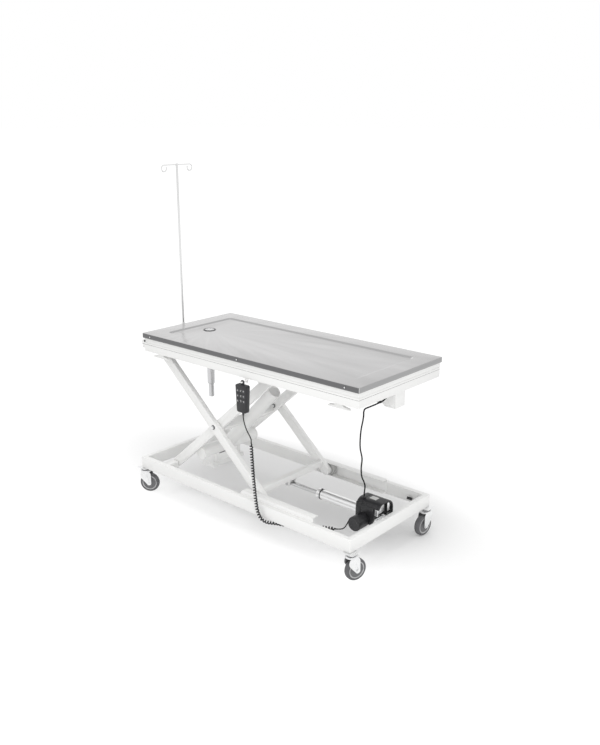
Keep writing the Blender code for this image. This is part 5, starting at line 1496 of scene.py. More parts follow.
@dataclass
class Base(Assembly):
    """Welded base ring with its roller tracks and actuator bracket, and the control box above it."""

    box_x: float = 0.235
    box_half: Pair = (0.040, 0.110)
    box_low: float = 0.1653
    box_high: float = 0.1873
    lid: float = 0.007
    groove: float = 0.001
    screw_reach: Pair = (0.031, 0.099)
    clip_foot: tuple = ((1.207, 0.2655, 0.153), (1.235, 0.2707, 0.163), 0.0012)
    clip_rod: tuple = ((1.208, 0.266, 0.155), (1.234, 0.266, 0.155), 0.0042)

    def build(self) -> None:
        """Dress the base."""
        shop = self.shop
        self.soften(("base_frame", "base", Finishes.WHITE, 0.0012),
                    ("roller_track_front", "base", Finishes.WHITE, 0.0006),
                    ("roller_track_rear", "base", Finishes.WHITE, 0.0006),
                    ("actuator_rear_bracket", "base", Finishes.ZINC, 0.0008))
        clip = Form().box(*self.clip_foot).rod(*self.clip_rod)
        shop.piece("cord_clip", clip, "base", [Finishes.BLACK])
        x, (half_x, half_y) = self.box_x, self.box_half
        seam = self.box_high - self.lid
        form = Form().box((x - half_x, -half_y, self.box_low), (x + half_x, half_y, seam - 0.0006), 0.003)
        form.box((x - half_x, -half_y, seam), (x + half_x, half_y, self.box_high), 0.003)
        form.box((x - half_x + self.groove, self.groove - half_y, seam - 0.002),
                 (x + half_x - self.groove, half_y - self.groove, seam + 0.002), 0.001)
        shop.piece("control_box_lidded", form, "inner_arms", [Finishes.WHITE], "control_box")
        reach_x, reach_y = self.screw_reach
        places = [((x + sx * reach_x, sy * reach_y, self.box_high), UP) for sx in (-1, 1) for sy in (-1, 1)]
        shop.grow("control_box_screws", "inner_arms", shop.screws, places, Finishes.ZINC,
                  Head_Radius=0.0032, Head_Height=0.0014)


@dataclass
class Casters(Assembly):
    """Four swivel casters, each named by its corner and turned by its yaw in degrees."""

    left: float = -0.058
    right: float = 1.305
    reach: float = 0.285
    height: float = 0.135
    trail: float = 0.022
    radius: float = 0.050
    half: float = 0.016
    bore: float = 0.0054
    crown_top: float = 0.1194
    crown_low: float = 0.1124
    leg_y: float = 0.020
    axle_radius: float = 0.005
    plate_half: float = 0.028
    race_top: float = 0.1322
    race_low: float = 0.1197
    yaws: tuple = (("front_left", 34.0), ("front_right", 73.0), ("rear_right", -95.0), ("rear_left", -60.0))

    def wheel(self, corner: str, swing: Matrix) -> None:
        """Make a wheel: tyre, pale ring and hub.

        Args:
            corner: Corner of the base.
            swing: Place and turn of the caster.
        """
        place = swing @ turned_at((self.trail, 0.0, self.radius), QUARTER, "X")
        h = self.half
        tyre = [(0.0385, h - 0.0035), (0.0415, h - 0.0008), (0.0445, h - 0.0015), (0.0480, h - 0.0050),
                (0.0497, h - 0.0090), (self.radius, h - 0.0120)]
        ring = [(0.0335, h - 0.0045), (0.0345, h - 0.0030), (0.0380, h - 0.0030), (0.0386, h - 0.0040)]
        hub = [(self.bore, h + 0.001), (0.0105, h + 0.001), (0.013, h - 0.0005), (0.0150, h - 0.0055),
               (0.0310, h - 0.0065), (0.0336, h - 0.0050)]
        form = Form()
        rims = ((tyre, 0.0018, 3, 72), (ring, 0.0006, 2, 64), (hub, 0.0010, 3, 56))
        for form.finish, (half, edge, steps, sides) in enumerate(rims):
            form.turned(fillet(mirrored(half), edge, steps), place, sides)
        node = f"caster_wheel_{corner}"
        self.shop.piece(f"{node}_dressed", form, node, [Finishes.TYRE, Finishes.TREAD_RING, Finishes.HUB],
                        node)

    def fork(self, corner: str, swing: Matrix) -> None:
        """Make a pressed fork with its axle bolt.

        Args:
            corner: Corner of the base.
            swing: Place and turn of the caster.
        """
        top, low, leg_y = self.crown_top, self.crown_low, self.leg_y
        crown = [(0.0, top), (0.0225, top), (0.024, top - 0.002), (0.027, low), (0.0, low)]
        form = Form().turned(fillet(crown, 0.0012, 3), swing, 48)
        leg = link_outline((0.006, top - 0.028), 0.028, (self.trail, self.radius), 0.012, 20)
        rib = ((0.008, 0.101), (0.014, 0.085), (0.0205, 0.064))
        for side in (-1, 1):
            form.plate(leg, 0.003, 0.0008, swing @ Matrix.Translation((0.0, side * leg_y, 0.0)))
            form.tube([swing @ Vector((x, side * (leg_y + 0.0012), z)) for x, z in rib], 0.0019, 12, True)
        form.box((-0.020, -leg_y, low), (0.030, leg_y, top - 0.001), 0.002, swing)
        form.rod(swing @ Vector((self.trail, -leg_y - 0.0055, self.radius)),
                 swing @ Vector((self.trail, leg_y + 0.0055, self.radius)), self.axle_radius)
        node = f"caster_fork_{corner}"
        self.shop.piece(f"{node}_pressed", form, node, [Finishes.ZINC], node)
        turn = swing.to_3x3()
        places = [(swing @ Vector((self.trail, side * (leg_y + 0.0016), self.radius)),
                   turn @ Vector((0.0, side, 0.0))) for side in (-1, 1)]
        self.shop.grow(f"caster_axle_nuts_{corner}", node, self.shop.bolts, places, Finishes.ZINC,
                       Head_Radius=0.0074, Head_Height=0.0030, Washer_Radius=0.0088, Washer_Thickness=0.001)

    def plate(self, corner: str, x: float, y: float) -> None:
        """Make a caster's plate and race.

        Args:
            corner: Corner of the base.
            x: Place of the swivel axis.
            y: Place of the swivel axis.
        """
        top, half = self.height - GAP, self.plate_half
        form = Form().box((x - half, y - half, top - 0.003), (x + half, y + half, top), 0.001)
        high, low = self.race_top, self.race_low
        race = [(0.0, high), (0.024, high), (0.024, high - 0.0045), (0.0215, high - 0.0060),
                (0.0215, high - 0.0075), (0.0230, high - 0.0085), (0.0190, low), (0.0, low)]
        form.finish = 1
        form.turned(fillet(race, 0.0008, 3), Matrix.Translation((x, y, 0.0)), 48)
        node = f"caster_plate_{corner}"
        self.shop.piece(f"{node}_dressed", form, "base", [Finishes.ZINC, Finishes.STEEL], node)

    def build(self) -> None:
        """Make the four casters."""
        for corner, yaw in self.yaws:
            x = self.left if corner.endswith("left") else self.right
            y = -self.reach if corner.startswith("front") else self.reach
            swing = turned_at((x, y, 0.0), math.radians(yaw), "Z")
            self.wheel(corner, swing)
            self.fork(corner, swing)
            self.plate(corner, x, y)


@dataclass
class Scissor(Assembly):
    """Inner and outer arms with their cross pieces, rollers and pivot bolts."""

    lower_pivot: Pair = (0.104, 0.180)
    lower_arm: float = 0.4253
    upper_arm: float = 0.51135
    angle: float = math.radians(41.0)
    depth: float = 0.046
    width: float = 0.025
    edge: float = 0.0016
    outer_face: float = 0.238
    inner_face: float = 0.2115
    pin: float = 0.008
    upper_pin_end: float = 0.2895
    lower_pin_end: float = 0.2715
    middle_pin_end: float = 0.1847
    torsion_tube: float = 0.0325
    tube_at: Pair = (0.184, -0.041)
    beam_at: float = 0.385
    beam_half: Pair = (0.022, 0.020)
    column_top: Pair = (0.668, 0.005)
    hanger_low: float = 0.1876
    hanger_faces: Pair = (0.080, 0.084)
    lower_roller_size: Pair = (0.026, 0.030)
    upper_roller_size: Pair = (0.022, 0.0155)

    @property
    def slope(self) -> Pair:
        """Run and rise of an arm for each metre of its length."""
        return math.cos(self.angle), math.sin(self.angle)

    def on_inner(self, distance: float, above: float = 0.0) -> Pair:
        """X and Z of a point so far along the inner arm's centre line and so far above it."""
        (x, z), (run, rise) = self.lower_pivot, self.slope
        return x + distance * run - above * rise, z + distance * rise + above * run

    @property
    def centre(self) -> Pair:
        """X and Z of the middle pivot."""
        return self.on_inner(self.lower_arm)

    @property
    def lower_roller(self) -> Pair:
        """X and Z of the outer arms' lower rollers."""
        return self.centre[0] + self.lower_arm * self.slope[0], self.lower_pivot[1]

    @property
    def upper_pivot(self) -> Pair:
        """X and Z of the outer arms' upper pivot."""
        (x, z), (run, rise) = self.centre, self.slope
        return x - self.upper_arm * run, z + self.upper_arm * rise

    @property
    def upper_roller(self) -> Pair:
        """X and Z of the inner arms' upper rollers."""
        (x, z), (run, rise) = self.centre, self.slope
        return x + self.upper_arm * run, z + self.upper_arm * rise

    def arms(self) -> None:
        """Cut the four arms with their pins."""
        end = self.depth / 2
        outline = link_outline((0.0, 0.0), end, (self.lower_arm + self.upper_arm, 0.0), end, 24)
        pivot, middle = (circle((x, 0.0), self.pin + 0.0005) for x in (0.0, self.lower_arm))
        inner = ("inner", self.inner_face, self.lower_pivot, -self.angle, (pivot, middle),
                 ((self.upper_roller, self.upper_pin_end),))
        outer = ("outer", self.outer_face, self.upper_pivot, self.angle, (pivot,),
                 ((self.centre, self.middle_pin_end), (self.lower_roller, self.lower_pin_end)))
        for side in Side:
            for name, face, (x, z), turn, holes, pins in (inner, outer):
                y = side.value * (face - self.width / 2)
                form = Form().plate(outline, self.width, self.edge, turned_at((x, y, z), turn), holes)
                for (pin_x, pin_z), reach in pins:
                    form.rod((pin_x, y, pin_z), (pin_x, side.value * reach, pin_z), self.pin)
                node = f"{name}_arm_{side.label}"
                self.shop.piece(f"{node}_bar", form, f"{name}_arms", [Finishes.WHITE], node)

    def crosses(self) -> None:
        """Make the inner cross frame and the outer crossbar."""
        shop, radius = self.shop, self.torsion_tube
        reach = self.inner_face - self.width - GAP
        x, z = self.on_inner(*self.tube_at)
        form = Form().rod((x, -reach, z), (x, reach, z), radius, 0.0015, 56)
        (beam_x, beam_z), (wide, deep) = self.on_inner(self.beam_at), self.beam_half
        form.box((-wide, -reach, -deep), (wide, reach, deep), 0.003,
                 turned_at((beam_x, 0.0, beam_z), -self.angle))
        top_x, top_z = self.on_inner(*self.column_top)
        run = Vector((top_x - x, 0.0, top_z - z))
        tall = run.length
        column = [(0.0, tall - 0.003), (0.024, tall - 0.003), (0.026, tall), (0.033, tall),
                  (0.033, tall - 0.016), (0.0322, tall - 0.0168), (0.0322, 0.0), (0.0, 0.0)]
        form.turned(fillet(column, 0.0018, 4), along((x, 0.0, z), run), 64)
        for side in Side:
            near, far = sorted(side.value * face for face in self.hanger_faces)
            form.box((x - 0.020, near, self.hanger_low), (x + 0.004, far, z), 0.0006)
        shop.piece("inner_cross_frame_welded", form, "inner_arms", [Finishes.WHITE], "inner_cross_frame")
        shop.soften("outer_crossbar", "outer_arms", Finishes.WHITE, 0.0012)
        loop = arc((x, z), radius, 0.0, math.tau, 24)
        beads = [[(px, side.value * (reach - 0.001), pz) for px, pz in loop] for side in Side]
        shop.grow("torsion_tube_welds", "inner_arms", shop.beads, beads, Finishes.WHITE, Bead_Radius=0.0024,
                  Pitch=0.0028)

    def rollers(self) -> None:
        """Turn the four rollers."""
        bore = self.pin + 0.0004
        for side in Side:
            for name, (x, z), face, width, radius in (
                    ("lower", self.lower_roller, self.lower_pin_end, *self.lower_roller_size),
                    ("upper", self.upper_roller, self.upper_pin_end, *self.upper_roller_size)):
                half = width / 2
                rim = [(bore, half), (radius * 0.62, half), (radius * 0.66, half - 0.002),
                       (radius * 0.82, half - 0.002), (radius * 0.86, half), (radius - 0.002, half),
                       (radius, half - 0.002)]
                place = along((x, side.value * (face - half), z), (0.0, side.value, 0.0))
                form = Form().turned(fillet(mirrored(rim), 0.0008, 2), place, 48)
                node = f"{name}_roller_{side.label}"
                self.shop.piece(f"{node}_turned", form, node, [Finishes.NYLON], node)

    def bolts(self) -> None:
        """Put the bolts on the pivots."""
        shop, (x, z) = self.shop, self.centre
        inside = self.inner_face - self.width
        for name, y, outward, ring, head in (("bolt", self.outer_face, 1, 0.0112, 0.0066),
                                             ("nut", inside - 0.0019, -1, 0.0105, 0.0062)):
            shop.ringed_bolt(f"middle_pivot_{name}", "outer_arms", both_sides(x, y, z, outward), ring, head)
        for name, body, (x, z), y in (
                ("lower_pivot_nuts", "base", self.lower_pivot, inside - 0.0016),
                ("upper_pivot_nuts", "lift_frame", self.upper_pivot, self.outer_face - self.width - GAP)):
            shop.grow(name, body, shop.bolts, both_sides(x, y, z, -1), Finishes.BOLT, Head_Radius=0.0072,
                      Head_Height=0.005, Washer_Radius=0.0105)

    def build(self) -> None:
        """Make the scissor."""
        self.arms()
        self.crosses()
        self.rollers()
        self.bolts()


@dataclass
class LiftActuator(Assembly):
    """Horizontal screw actuator on the base."""

    pin_x: float = 0.702
    axis: float = 0.176
    mouth: float = 0.889
    front: float = 1.150
    rear: float = 1.274
    half: float = 0.058
    below: float = 0.031
    above: float = 0.076
    wall: float = 0.006
    shoulder: float = 0.042
    foot: float = 0.004
    cover: float = 0.030
    pocket: float = 0.050
    motor_x: float = 1.195
    motor_z: float = 0.165
    motor_radius: float = 0.0335
    motor_length: float = 0.070
    motor_screws: Pair = (0.0185, 0.6)
    tube_bore: float = 0.0135
    tube_radius: float = 0.0235
    rod_radius: float = 0.011
    rod_length: float = 0.320
    eye_radius: float = 0.014
    eye_hole: float = 0.0069
    pin_radius: float = 0.006
    pin_half: float = 0.026
    hinge_x: float = 1.256
    edge: float = 0.0018
    joint: float = 0.0008
    gland_at: Point = (1.176, -0.030, 0.0)
    gland: tuple = ((0.0, 0.2622), (0.0042, 0.2622), (0.0046, 0.2600), (0.0062, 0.2595), (0.0062, 0.2570),
                    (0.0070, 0.2565), (0.0070, 0.2515), (0.0, 0.2515))
    front_plate: tuple = ((1.1485, -0.046, 0.151), (1.150, 0.046, 0.236), 0.0006)
    lid_plate: tuple = ((1.194, -0.016, 0.2519), (1.230, 0.012, 0.2525), 0.0002)
    inner_plates: tuple = (((1.262, 0.026, 0.195), (1.266, 0.046, 0.236), 0.0012),
                           ((1.249, -0.050, 0.1945), (1.255, 0.018, 0.236), 0.0020),
                           ((1.254, -0.050, 0.1945), (1.268, -0.046, 0.226), 0.0015))
    inner_boss: tuple = ((1.254, -0.022, 0.2140), (1.262, -0.022, 0.2140), 0.0085, 0.0010, 24)
    screw_ys: Pair = (-0.040, 0.040)
    screw_zs: Pair = (0.157, 0.216)

    def arched(self, inset: float, thickness: float, edge: float, middle: float) -> Form:
        """Slab of the housing: a block with a round-shouldered top, standing across the table.

        Args:
            inset: How far it lies inside the outer outline.
            thickness: Its size along X.
            edge: Radius of its edges.
            middle: Its middle on X.

        Returns:
            The slab.
        """
        low, high = self.axis - self.below + inset, self.axis + self.above - inset
        half, foot, shoulder = self.half - inset, self.foot, self.shoulder - inset
        outline = arc((half - foot, low + foot), foot, -QUARTER, 0.0, 4)
        outline += arc((half - shoulder, high - shoulder), shoulder, 0.0, QUARTER, 16)
        outline += arc((shoulder - half, high - shoulder), shoulder, QUARTER, math.pi, 16)
        outline += arc((foot - half, low + foot), foot, math.pi, 1.5 * math.pi, 4)
        return Form().plate(outline, thickness, edge, turned_at((middle, 0.0, 0.0), QUARTER, "Z"))

    def housing(self) -> None:
        """Mould the gear housing: front cover, hood with an open rear, gland and clips."""
        front, rear, half, wall = self.front, self.rear, self.half, self.wall
        seam, floor = front + self.cover, self.axis - self.below
        whole = self.arched(0.0, seam - self.joint - front, self.edge, (front + seam - self.joint) / 2)
        whole.add(self.arched(0.0015, 0.006, 0.0004, seam - 0.0004).mesh())
        hood = self.arched(0.0, rear - seam, self.edge, (rear + seam) / 2).mesh()
        pocket = self.arched(wall, 0.058, 0.0005, rear - self.pocket + 0.029)
        slot = Form().box((rear - self.pocket, wall - half, floor - 0.01),
                          (rear + 0.010, half - wall, self.axis), 0.0005)
        window = Form().box((rear - 0.028, -half - 0.010, floor - 0.010),
                            (rear + 0.010, 0.012 - half, self.axis + 0.052), 0.003)
        for tool in (pocket, slot, window):
            hood = without(hood, tool.mesh())
        whole.add(hood)
        reach = half - wall / 2
        whole.finish = 1
        whole.rod((self.hinge_x, -reach, self.axis), (self.hinge_x, reach, self.axis), self.pin_radius)
        whole.finish = 0
        whole.turned(fillet(self.gland, 0.0006, 2), Matrix.Translation(self.gland_at), 28)
        whole.box(*self.front_plate)
        whole.box((front + 0.002, 0.002 - half, 0.2315), (rear - 0.008, 0.014 - half, 0.2360), 0.0010)
        for x in (front + 0.006, seam, rear - 0.014):
            whole.box((x - 0.004, 0.001 - half, 0.2300), (x + 0.004, 0.016 - half, 0.2385), 0.0012)
        self.shop.piece("lift_gear_housing_moulded", whole, "lift_actuator",
                        [Finishes.BLACK, Finishes.ZINC], "lift_gear_housing")

    def fittings(self) -> None:
        """Add the housing's bare plate, the plates inside it and its screws."""
        shop = self.shop
        plate = Form().box(*self.lid_plate)
        shop.piece("lift_housing_plate", plate, "lift_actuator", [Finishes.PLATE])
        tongue = Form()
        for box in self.inner_plates:
            tongue.box(*box)
        tongue.rod(*self.inner_boss)
        shop.piece("lift_housing_tongue", tongue, "lift_actuator", [Finishes.ZINC])
        places = [((self.front - 0.0015, y, z), LEFT) for y in self.screw_ys for z in self.screw_zs]
        places.append(((self.front + self.cover + 0.012, self.half - 0.0002, 0.170), BACKWARD))
        shop.grow("lift_housing_screws", "lift_actuator", shop.screws, places, Finishes.ZINC,
                  Head_Radius=0.0036)

    def motor(self) -> None:
        """Turn the motor with its ribs and end cap."""
        shop, radius, long = self.shop, self.motor_radius, self.motor_length
        place = along((self.motor_x, -self.half - GAP, self.motor_z), FORWARD)
        profile = fillet([(0.0, long - 0.0012), (0.0205, long - 0.0012), (0.0215, long),
                          (radius - 0.0025, long), (radius - 0.0004, long - 0.0025), (radius - 0.0004, 0.0),
                          (0.0, 0.0)], 0.0008, 3)
        shop.piece("lift_motor_turned", Form().turned(profile, place, 64), "lift_actuator",
                   [Finishes.BLACK], "lift_motor")
        shop.grow("lift_motor_ribs", "lift_actuator", shop.ribs,
                  [(place @ Vector((0.0, 0.0, 0.034)), FORWARD)], Finishes.BLACK,
                  Ring_Radius=radius - 0.0008, Rib_Length=0.060, Rib_Width=0.0022, Rib_Depth=0.0012,
                  Count=26)
        ring, turn = self.motor_screws
        places = [(place @ Vector((ring * math.cos(a), ring * math.sin(a), long - 0.0012)), FORWARD)
                  for a in (turn, turn + math.pi)]
        shop.grow("lift_motor_screws", "lift_actuator", shop.screws, places, Finishes.BOLT,
                  Head_Radius=0.0030, Head_Height=0.0014)

    def column(self) -> None:
        """Make the tube with its cable tie, the rod with its eye, and the pin."""
        shop, bore, outer, axis, pin = self.shop, self.tube_bore, self.tube_radius, self.axis, self.pin_x
        length = self.front - GAP - self.mouth
        profile = [(bore, length), (outer + 0.002, length), (outer + 0.002, length - 0.005),
                   (outer + 0.0008, length - 0.006), (outer + 0.002, length - 0.007),
                   (outer + 0.002, length - 0.012), (outer, length - 0.012), (outer, 0.016),
                   (outer - 0.0006, 0.015), (outer - 0.0006, 0.013), (outer, 0.012), (outer, 0.0),
                   (bore, 0.0)]
        tube = Form().turned(fillet(profile, 0.0008, 3), along((self.front - GAP, 0.0, axis), LEFT), 56)
        shop.piece("lift_tube_drawn", tube, "lift_actuator", [Finishes.TUBE], "lift_tube")
        tie_x = self.mouth + 0.020
        tie = mirrored([(outer + 0.0002, 0.0025), (outer + 0.0016, 0.0025)])
        form = Form().turned(tie, along((tie_x, 0.0, axis), (1.0, 0.0, 0.0)), 40)
        form.box((self.mouth + 0.0165, -0.006, axis + outer),
                 (self.mouth + 0.0235, 0.003, axis + outer + 0.0055), 0.0008)
        form.tube([(tie_x, -0.004 - 0.010 * t, axis + outer + 0.003 - 0.010 * t * t)
                   for t in (0.0, 0.5, 1.0, 1.5)], 0.0012, 8, True)
        shop.piece("lift_tube_tie", form, "lift_actuator", [Finishes.BLACK])
        eye, hole = circle((pin, axis), self.eye_radius, 40), circle((pin, axis), self.eye_hole)
        form = Form().plate(eye, 0.030, 0.0008, Matrix.Identity(4), (hole,))
        form.rod((pin + 0.0115, 0.0, axis), (pin + self.rod_length, 0.0, axis), self.rod_radius, 0.0008, 40)
        shop.piece("lift_rod_ground", form, "lift_rod", [Finishes.ROD], "lift_rod")
        form = Form().rod((pin, -self.pin_half, axis), (pin, self.pin_half, axis), self.pin_radius)
        clip = [(0.0061, 0.0005), (0.0088, 0.0005), (0.0088, -0.0005), (0.0061, -0.0005)]
        for side in (-1, 1):
            form.turned(clip, along((pin, side * 0.0245, axis), BACKWARD), 28)
        shop.piece("lift_rod_pin_clipped", form, "outer_arms", [Finishes.STEEL], "lift_rod_pin")

    def build(self) -> None:
        """Make the actuator."""
        self.housing()
        self.fittings()
        self.motor()
        self.column()


@dataclass
class UpperFrames(Assembly):
    """Lift frame, tilting frame and the tilt drive between them."""

    roller: Pair = (1.190, 0.8019)
    roller_radius: float = 0.018
    roller_width: float = 0.020
    roller_bore: float = 0.0084
    bolt_at: Point = (0.0085, 0.294, 0.826)
    # Painted shadow: thin dark strips that fill the gap between the lift frame and the tilting frame.
    strips: tuple = (((-0.018, -0.2944, 0.8094), (1.334, -0.2938, 0.8104)),
                     ((-0.018, 0.2938, 0.8094), (1.334, 0.2944, 0.8104)),
                     ((1.3338, -0.2944, 0.8094), (1.3344, 0.2944, 0.8104)))

    def build(self) -> None:
        """Dress the two frames and the drive."""
        shop = self.shop
        self.soften(("lift_frame", "lift_frame", Finishes.WHITE, 0.0010),
                    ("tilt_frame", "tilt_top", Finishes.WHITE, 0.0010))
        shop.grow("tilt_frame_bolts", "tilt_top", shop.bolts, both_sides(*self.bolt_at), Finishes.BOLT,
                  Head_Radius=0.0042, Head_Height=0.003, Washer_Radius=0.0052, Washer_Thickness=0.0008)
        # Painted shadow: a dark strip in the gap between the two frames.
        line = Form()
        for low, high in self.strips:
            line.box(low, high, 0.0002)
        shop.piece("frame_buffer_strip", line, "lift_frame", [Finishes.TYRE])
        self.soften(("tilt_bracket", "lift_frame", Finishes.WHITE, 0.0008),
                    ("handset_hook", "lift_frame", Finishes.WHITE, 0.0005),
                    ("pole_socket", "lift_frame", Finishes.WHITE, 0.0006),
                    ("tilt_lever", "tilt_lever", Finishes.STEEL, 0.0006),
                    ("tilt_rod", "tilt_rod", Finishes.STEEL, 0.0005),
                    ("tilt_actuator", "lift_frame", Finishes.BLACK, 0.0008))
        radius, half = self.roller_radius, self.roller_width / 2
        rim = [(self.roller_bore, half), (radius - 0.002, half), (radius, half - 0.002)]
        x, z = self.roller
        place = along((x, 0.005 + self.roller_width + 0.0015 - half, z), BACKWARD)
        shop.piece("tilt_roller_turned", Form().turned(fillet(mirrored(rim), 0.0008, 2), place, 40),
                   "tilt_roller", [Finishes.KEYS], "tilt_roller")


@dataclass
class SteelTop(Assembly):
    """Folded stainless top with its drain, strainer and tail pipe."""

    length: float = 1.340
    width: float = 0.600
    low: float = 0.8417
    high: float = 0.8667
    sheet: float = 0.0015
    hem: float = 0.014
    border: float = 0.085
    slope: float = 0.012
    basin_depth: float = 0.006
    basin_corner: float = 0.022
    drain_x: float = 0.159
    drain_floor: float = 0.8527
    hole: float = 0.026
    flange: float = 0.0325
    corner: float = 0.002
    screw_xs: tuple = (0.058, 0.659, 1.267)
    screw_z: float = 0.8535
    pierced: float = 0.0040
    pipe_radius: float = 0.0193
    tail_radius: float = 0.014
    pipe_wall: float = 0.0025

    def ring(self, inset: float, height: float, radius: float) -> list[Point]:
        """Rounded rectangle inside the top's outline, at a height and with a corner radius."""
        loop = rounded_rectangle(self.length / 2 - inset, self.width / 2 - inset, radius, 8, 10)
        return [(self.length / 2 + x, y, height) for x, y in loop]

    def drain_ring(self, radius: float, outer: Sequence[Point]) -> list[Point]:
        """Ring round the drain whose points face those of an outer ring."""
        angles = [math.atan2(y, x - self.drain_x) for x, y, _ in outer]
        return [(self.drain_x + radius * math.cos(a), radius * math.sin(a), self.drain_floor)
                for a in angles]

    def kind(self, centre: Vector, normal: Vector) -> int:
        """Number of a face's finish.

        Args:
            centre: The face's centre.
            normal: Its normal.

        Returns:
            0 for the fanned sheet with its painted reflections, 1 and 2 for the painted shade of the long
            and the short lips, 3 for the painted highlight on their rounded corners, 4 and 5 for the slopes
            in painted shade and painted light.
        """
        edge = min(centre.x, self.length - centre.x, self.width / 2 - abs(centre.y))
        # Lips and slopes take their finish by the way they face: painted shade and painted light.
        if abs(normal.z) < 0.5 and edge < 0.003 and centre.z < self.high - 0.001:
            if min(abs(normal.x), abs(normal.y)) > 0.25:
                return 3
            return 2 if abs(normal.x) > 0.5 else 1
        if self.border - 0.001 < edge < self.border + self.slope + 0.001 and normal.z < 0.97:
            return 5 if normal.x < -0.2 else 4
        return 0

    def top(self) -> None:
        """Fold the sheet: hem, lip, flat border, and a basin that falls to the drain."""
        shop, border, basin = self.shop, self.border, self.high - self.basin_depth
        fold = [(self.hem, self.low), (0.0, self.low), (0.0, self.high), (border, self.high),
                (border + self.slope, basin), (border + 2.2 * self.slope, basin - 0.0001)]
        rings = []
        for inset, height in fillet(fold, 0.0028, 4):
            radius = self.basin_corner - max(0.0, inset - border) / 2
            if inset < border * 0.9:
                radius = max(0.0006, self.corner - inset)
            rings.append(self.ring(inset, height, radius))
        rim = rings[-1]
        inner = self.drain_ring(self.flange + self.corner, rim)
        for t in (0.2, 0.4, 0.6, 0.8):
            rings.append([tuple(Vector(a).lerp(Vector(b), t)) for a, b in zip(rim, inner)])
        rings += [inner, self.drain_ring(self.hole, rim)]
        mesh = baked(Form().loft(rings).mesh(), "SOLIDIFY", thickness=self.sheet, offset=-1.0,
                     use_even_offset=True)
        for face in mesh.polygons:
            face.material_index = self.kind(face.center, face.normal)
        # The sheet's finish paints reflections that fan out from the drain.
        fan = FannedSteel("fanned_stainless", (0.548, 0.543, 0.545), 0.22,
                          centre=tuple(shop.place((self.drain_x, 0.0, 0.0)))[:2])
        shop.piece("steel_top_folded", mesh, "tilt_top",
                   [fan, Finishes.LIP, Finishes.LIP_END, Finishes.SEAM, Finishes.SLOPE, Finishes.SLOPE_END],
                   "steel_top")
        places = [place for x in self.screw_xs for place in both_sides(x, self.width / 2, self.screw_z)]
        # Painted highlight: a small bright dome on each dark screw head.
        highlight_spots = [((x, y + axis[1] * 0.0014, z), axis) for (x, y, z), axis in places]
        shop.grow("edge_screws", "tilt_top", shop.screws, places, Finishes.BOLT, Head_Radius=0.0064,
                  Head_Height=0.0018)
        shop.grow("edge_screw_crowns", "tilt_top", shop.screws, highlight_spots, Finishes.ZINC, Head_Radius=0.0038,
                  Head_Height=0.0014)

    def drain(self) -> None:
        """Turn the flange, the strainer and the tail pipe."""
        shop, middle = self.shop, self.drain_x
        floor = self.drain_floor + GAP
        top, low = floor + 0.002, floor - 0.030
        neck = self.hole * math.cos(math.pi / 20) - GAP
        seat = neck - 0.003
        bore = seat - 0.003
        seat_z = top - 0.003 - GAP
        place = Matrix.Translation((middle, 0.0, 0.0))
        profile = fillet([(bore, low), (bore, seat_z), (seat, seat_z), (seat, top),
                          (self.flange - 0.002, top), (self.flange, floor), (neck, floor), (neck, low)],
                         0.0006, 3)
        # The flange carries painted shade: stainless coloured near black.
        shop.piece("drain_flange_turned", Form().turned(profile, place, 64), "tilt_top",
                   [Finishes.DRAIN_RING], "drain_flange")
        centres = circle((0.0, 0.0), 0.6 * seat, 6) + [(0.0, 0.0)]
        holes = [circle(centre, self.pierced, 20) for centre in centres]
        thick = top - seat_z - GAP
        disc = Form().plate(circle((0.0, 0.0), seat - 0.0004, 64), thick, 0.0004,
                            turned_at((middle, 0.0, top - thick / 2), -QUARTER, "X"), holes)
        # Painted highlight: the stainless strainer takes the pale tube finish.
        shop.piece("drain_strainer_pierced", disc, "drain_strainer", [Finishes.TUBE], "drain_strainer")
        pipe_top = low - GAP
        nut = neck + 0.006
        step = pipe_top - 0.250
        end = step - 0.071
        wide, slim, wall = self.pipe_radius, self.tail_radius, self.pipe_wall
        outer = [(bore, pipe_top), (nut, pipe_top), (nut, pipe_top - 0.018), (wide, pipe_top - 0.022),
                 (wide, step), (slim, step - 0.004), (slim, end), (slim - wall, end),
                 (slim - wall, step - 0.004), (wide - wall, step), (wide - wall, pipe_top - 0.022)]
        shop.piece("drain_pipe_turned", Form().turned(fillet(outer, 0.0012, 3), place, 48), "tilt_top",
                   [Finishes.UPRIGHT], "drain_pipe")
        shop.grow("drain_nut_ribs", "tilt_top", shop.ribs, [((middle, 0.0, pipe_top - 0.009), UP)],
                  Finishes.UPRIGHT, Ring_Radius=nut, Rib_Length=0.013, Rib_Width=0.003, Count=18)

    def build(self) -> None:
        """Make the top and its drain."""
        self.top()
        self.drain()


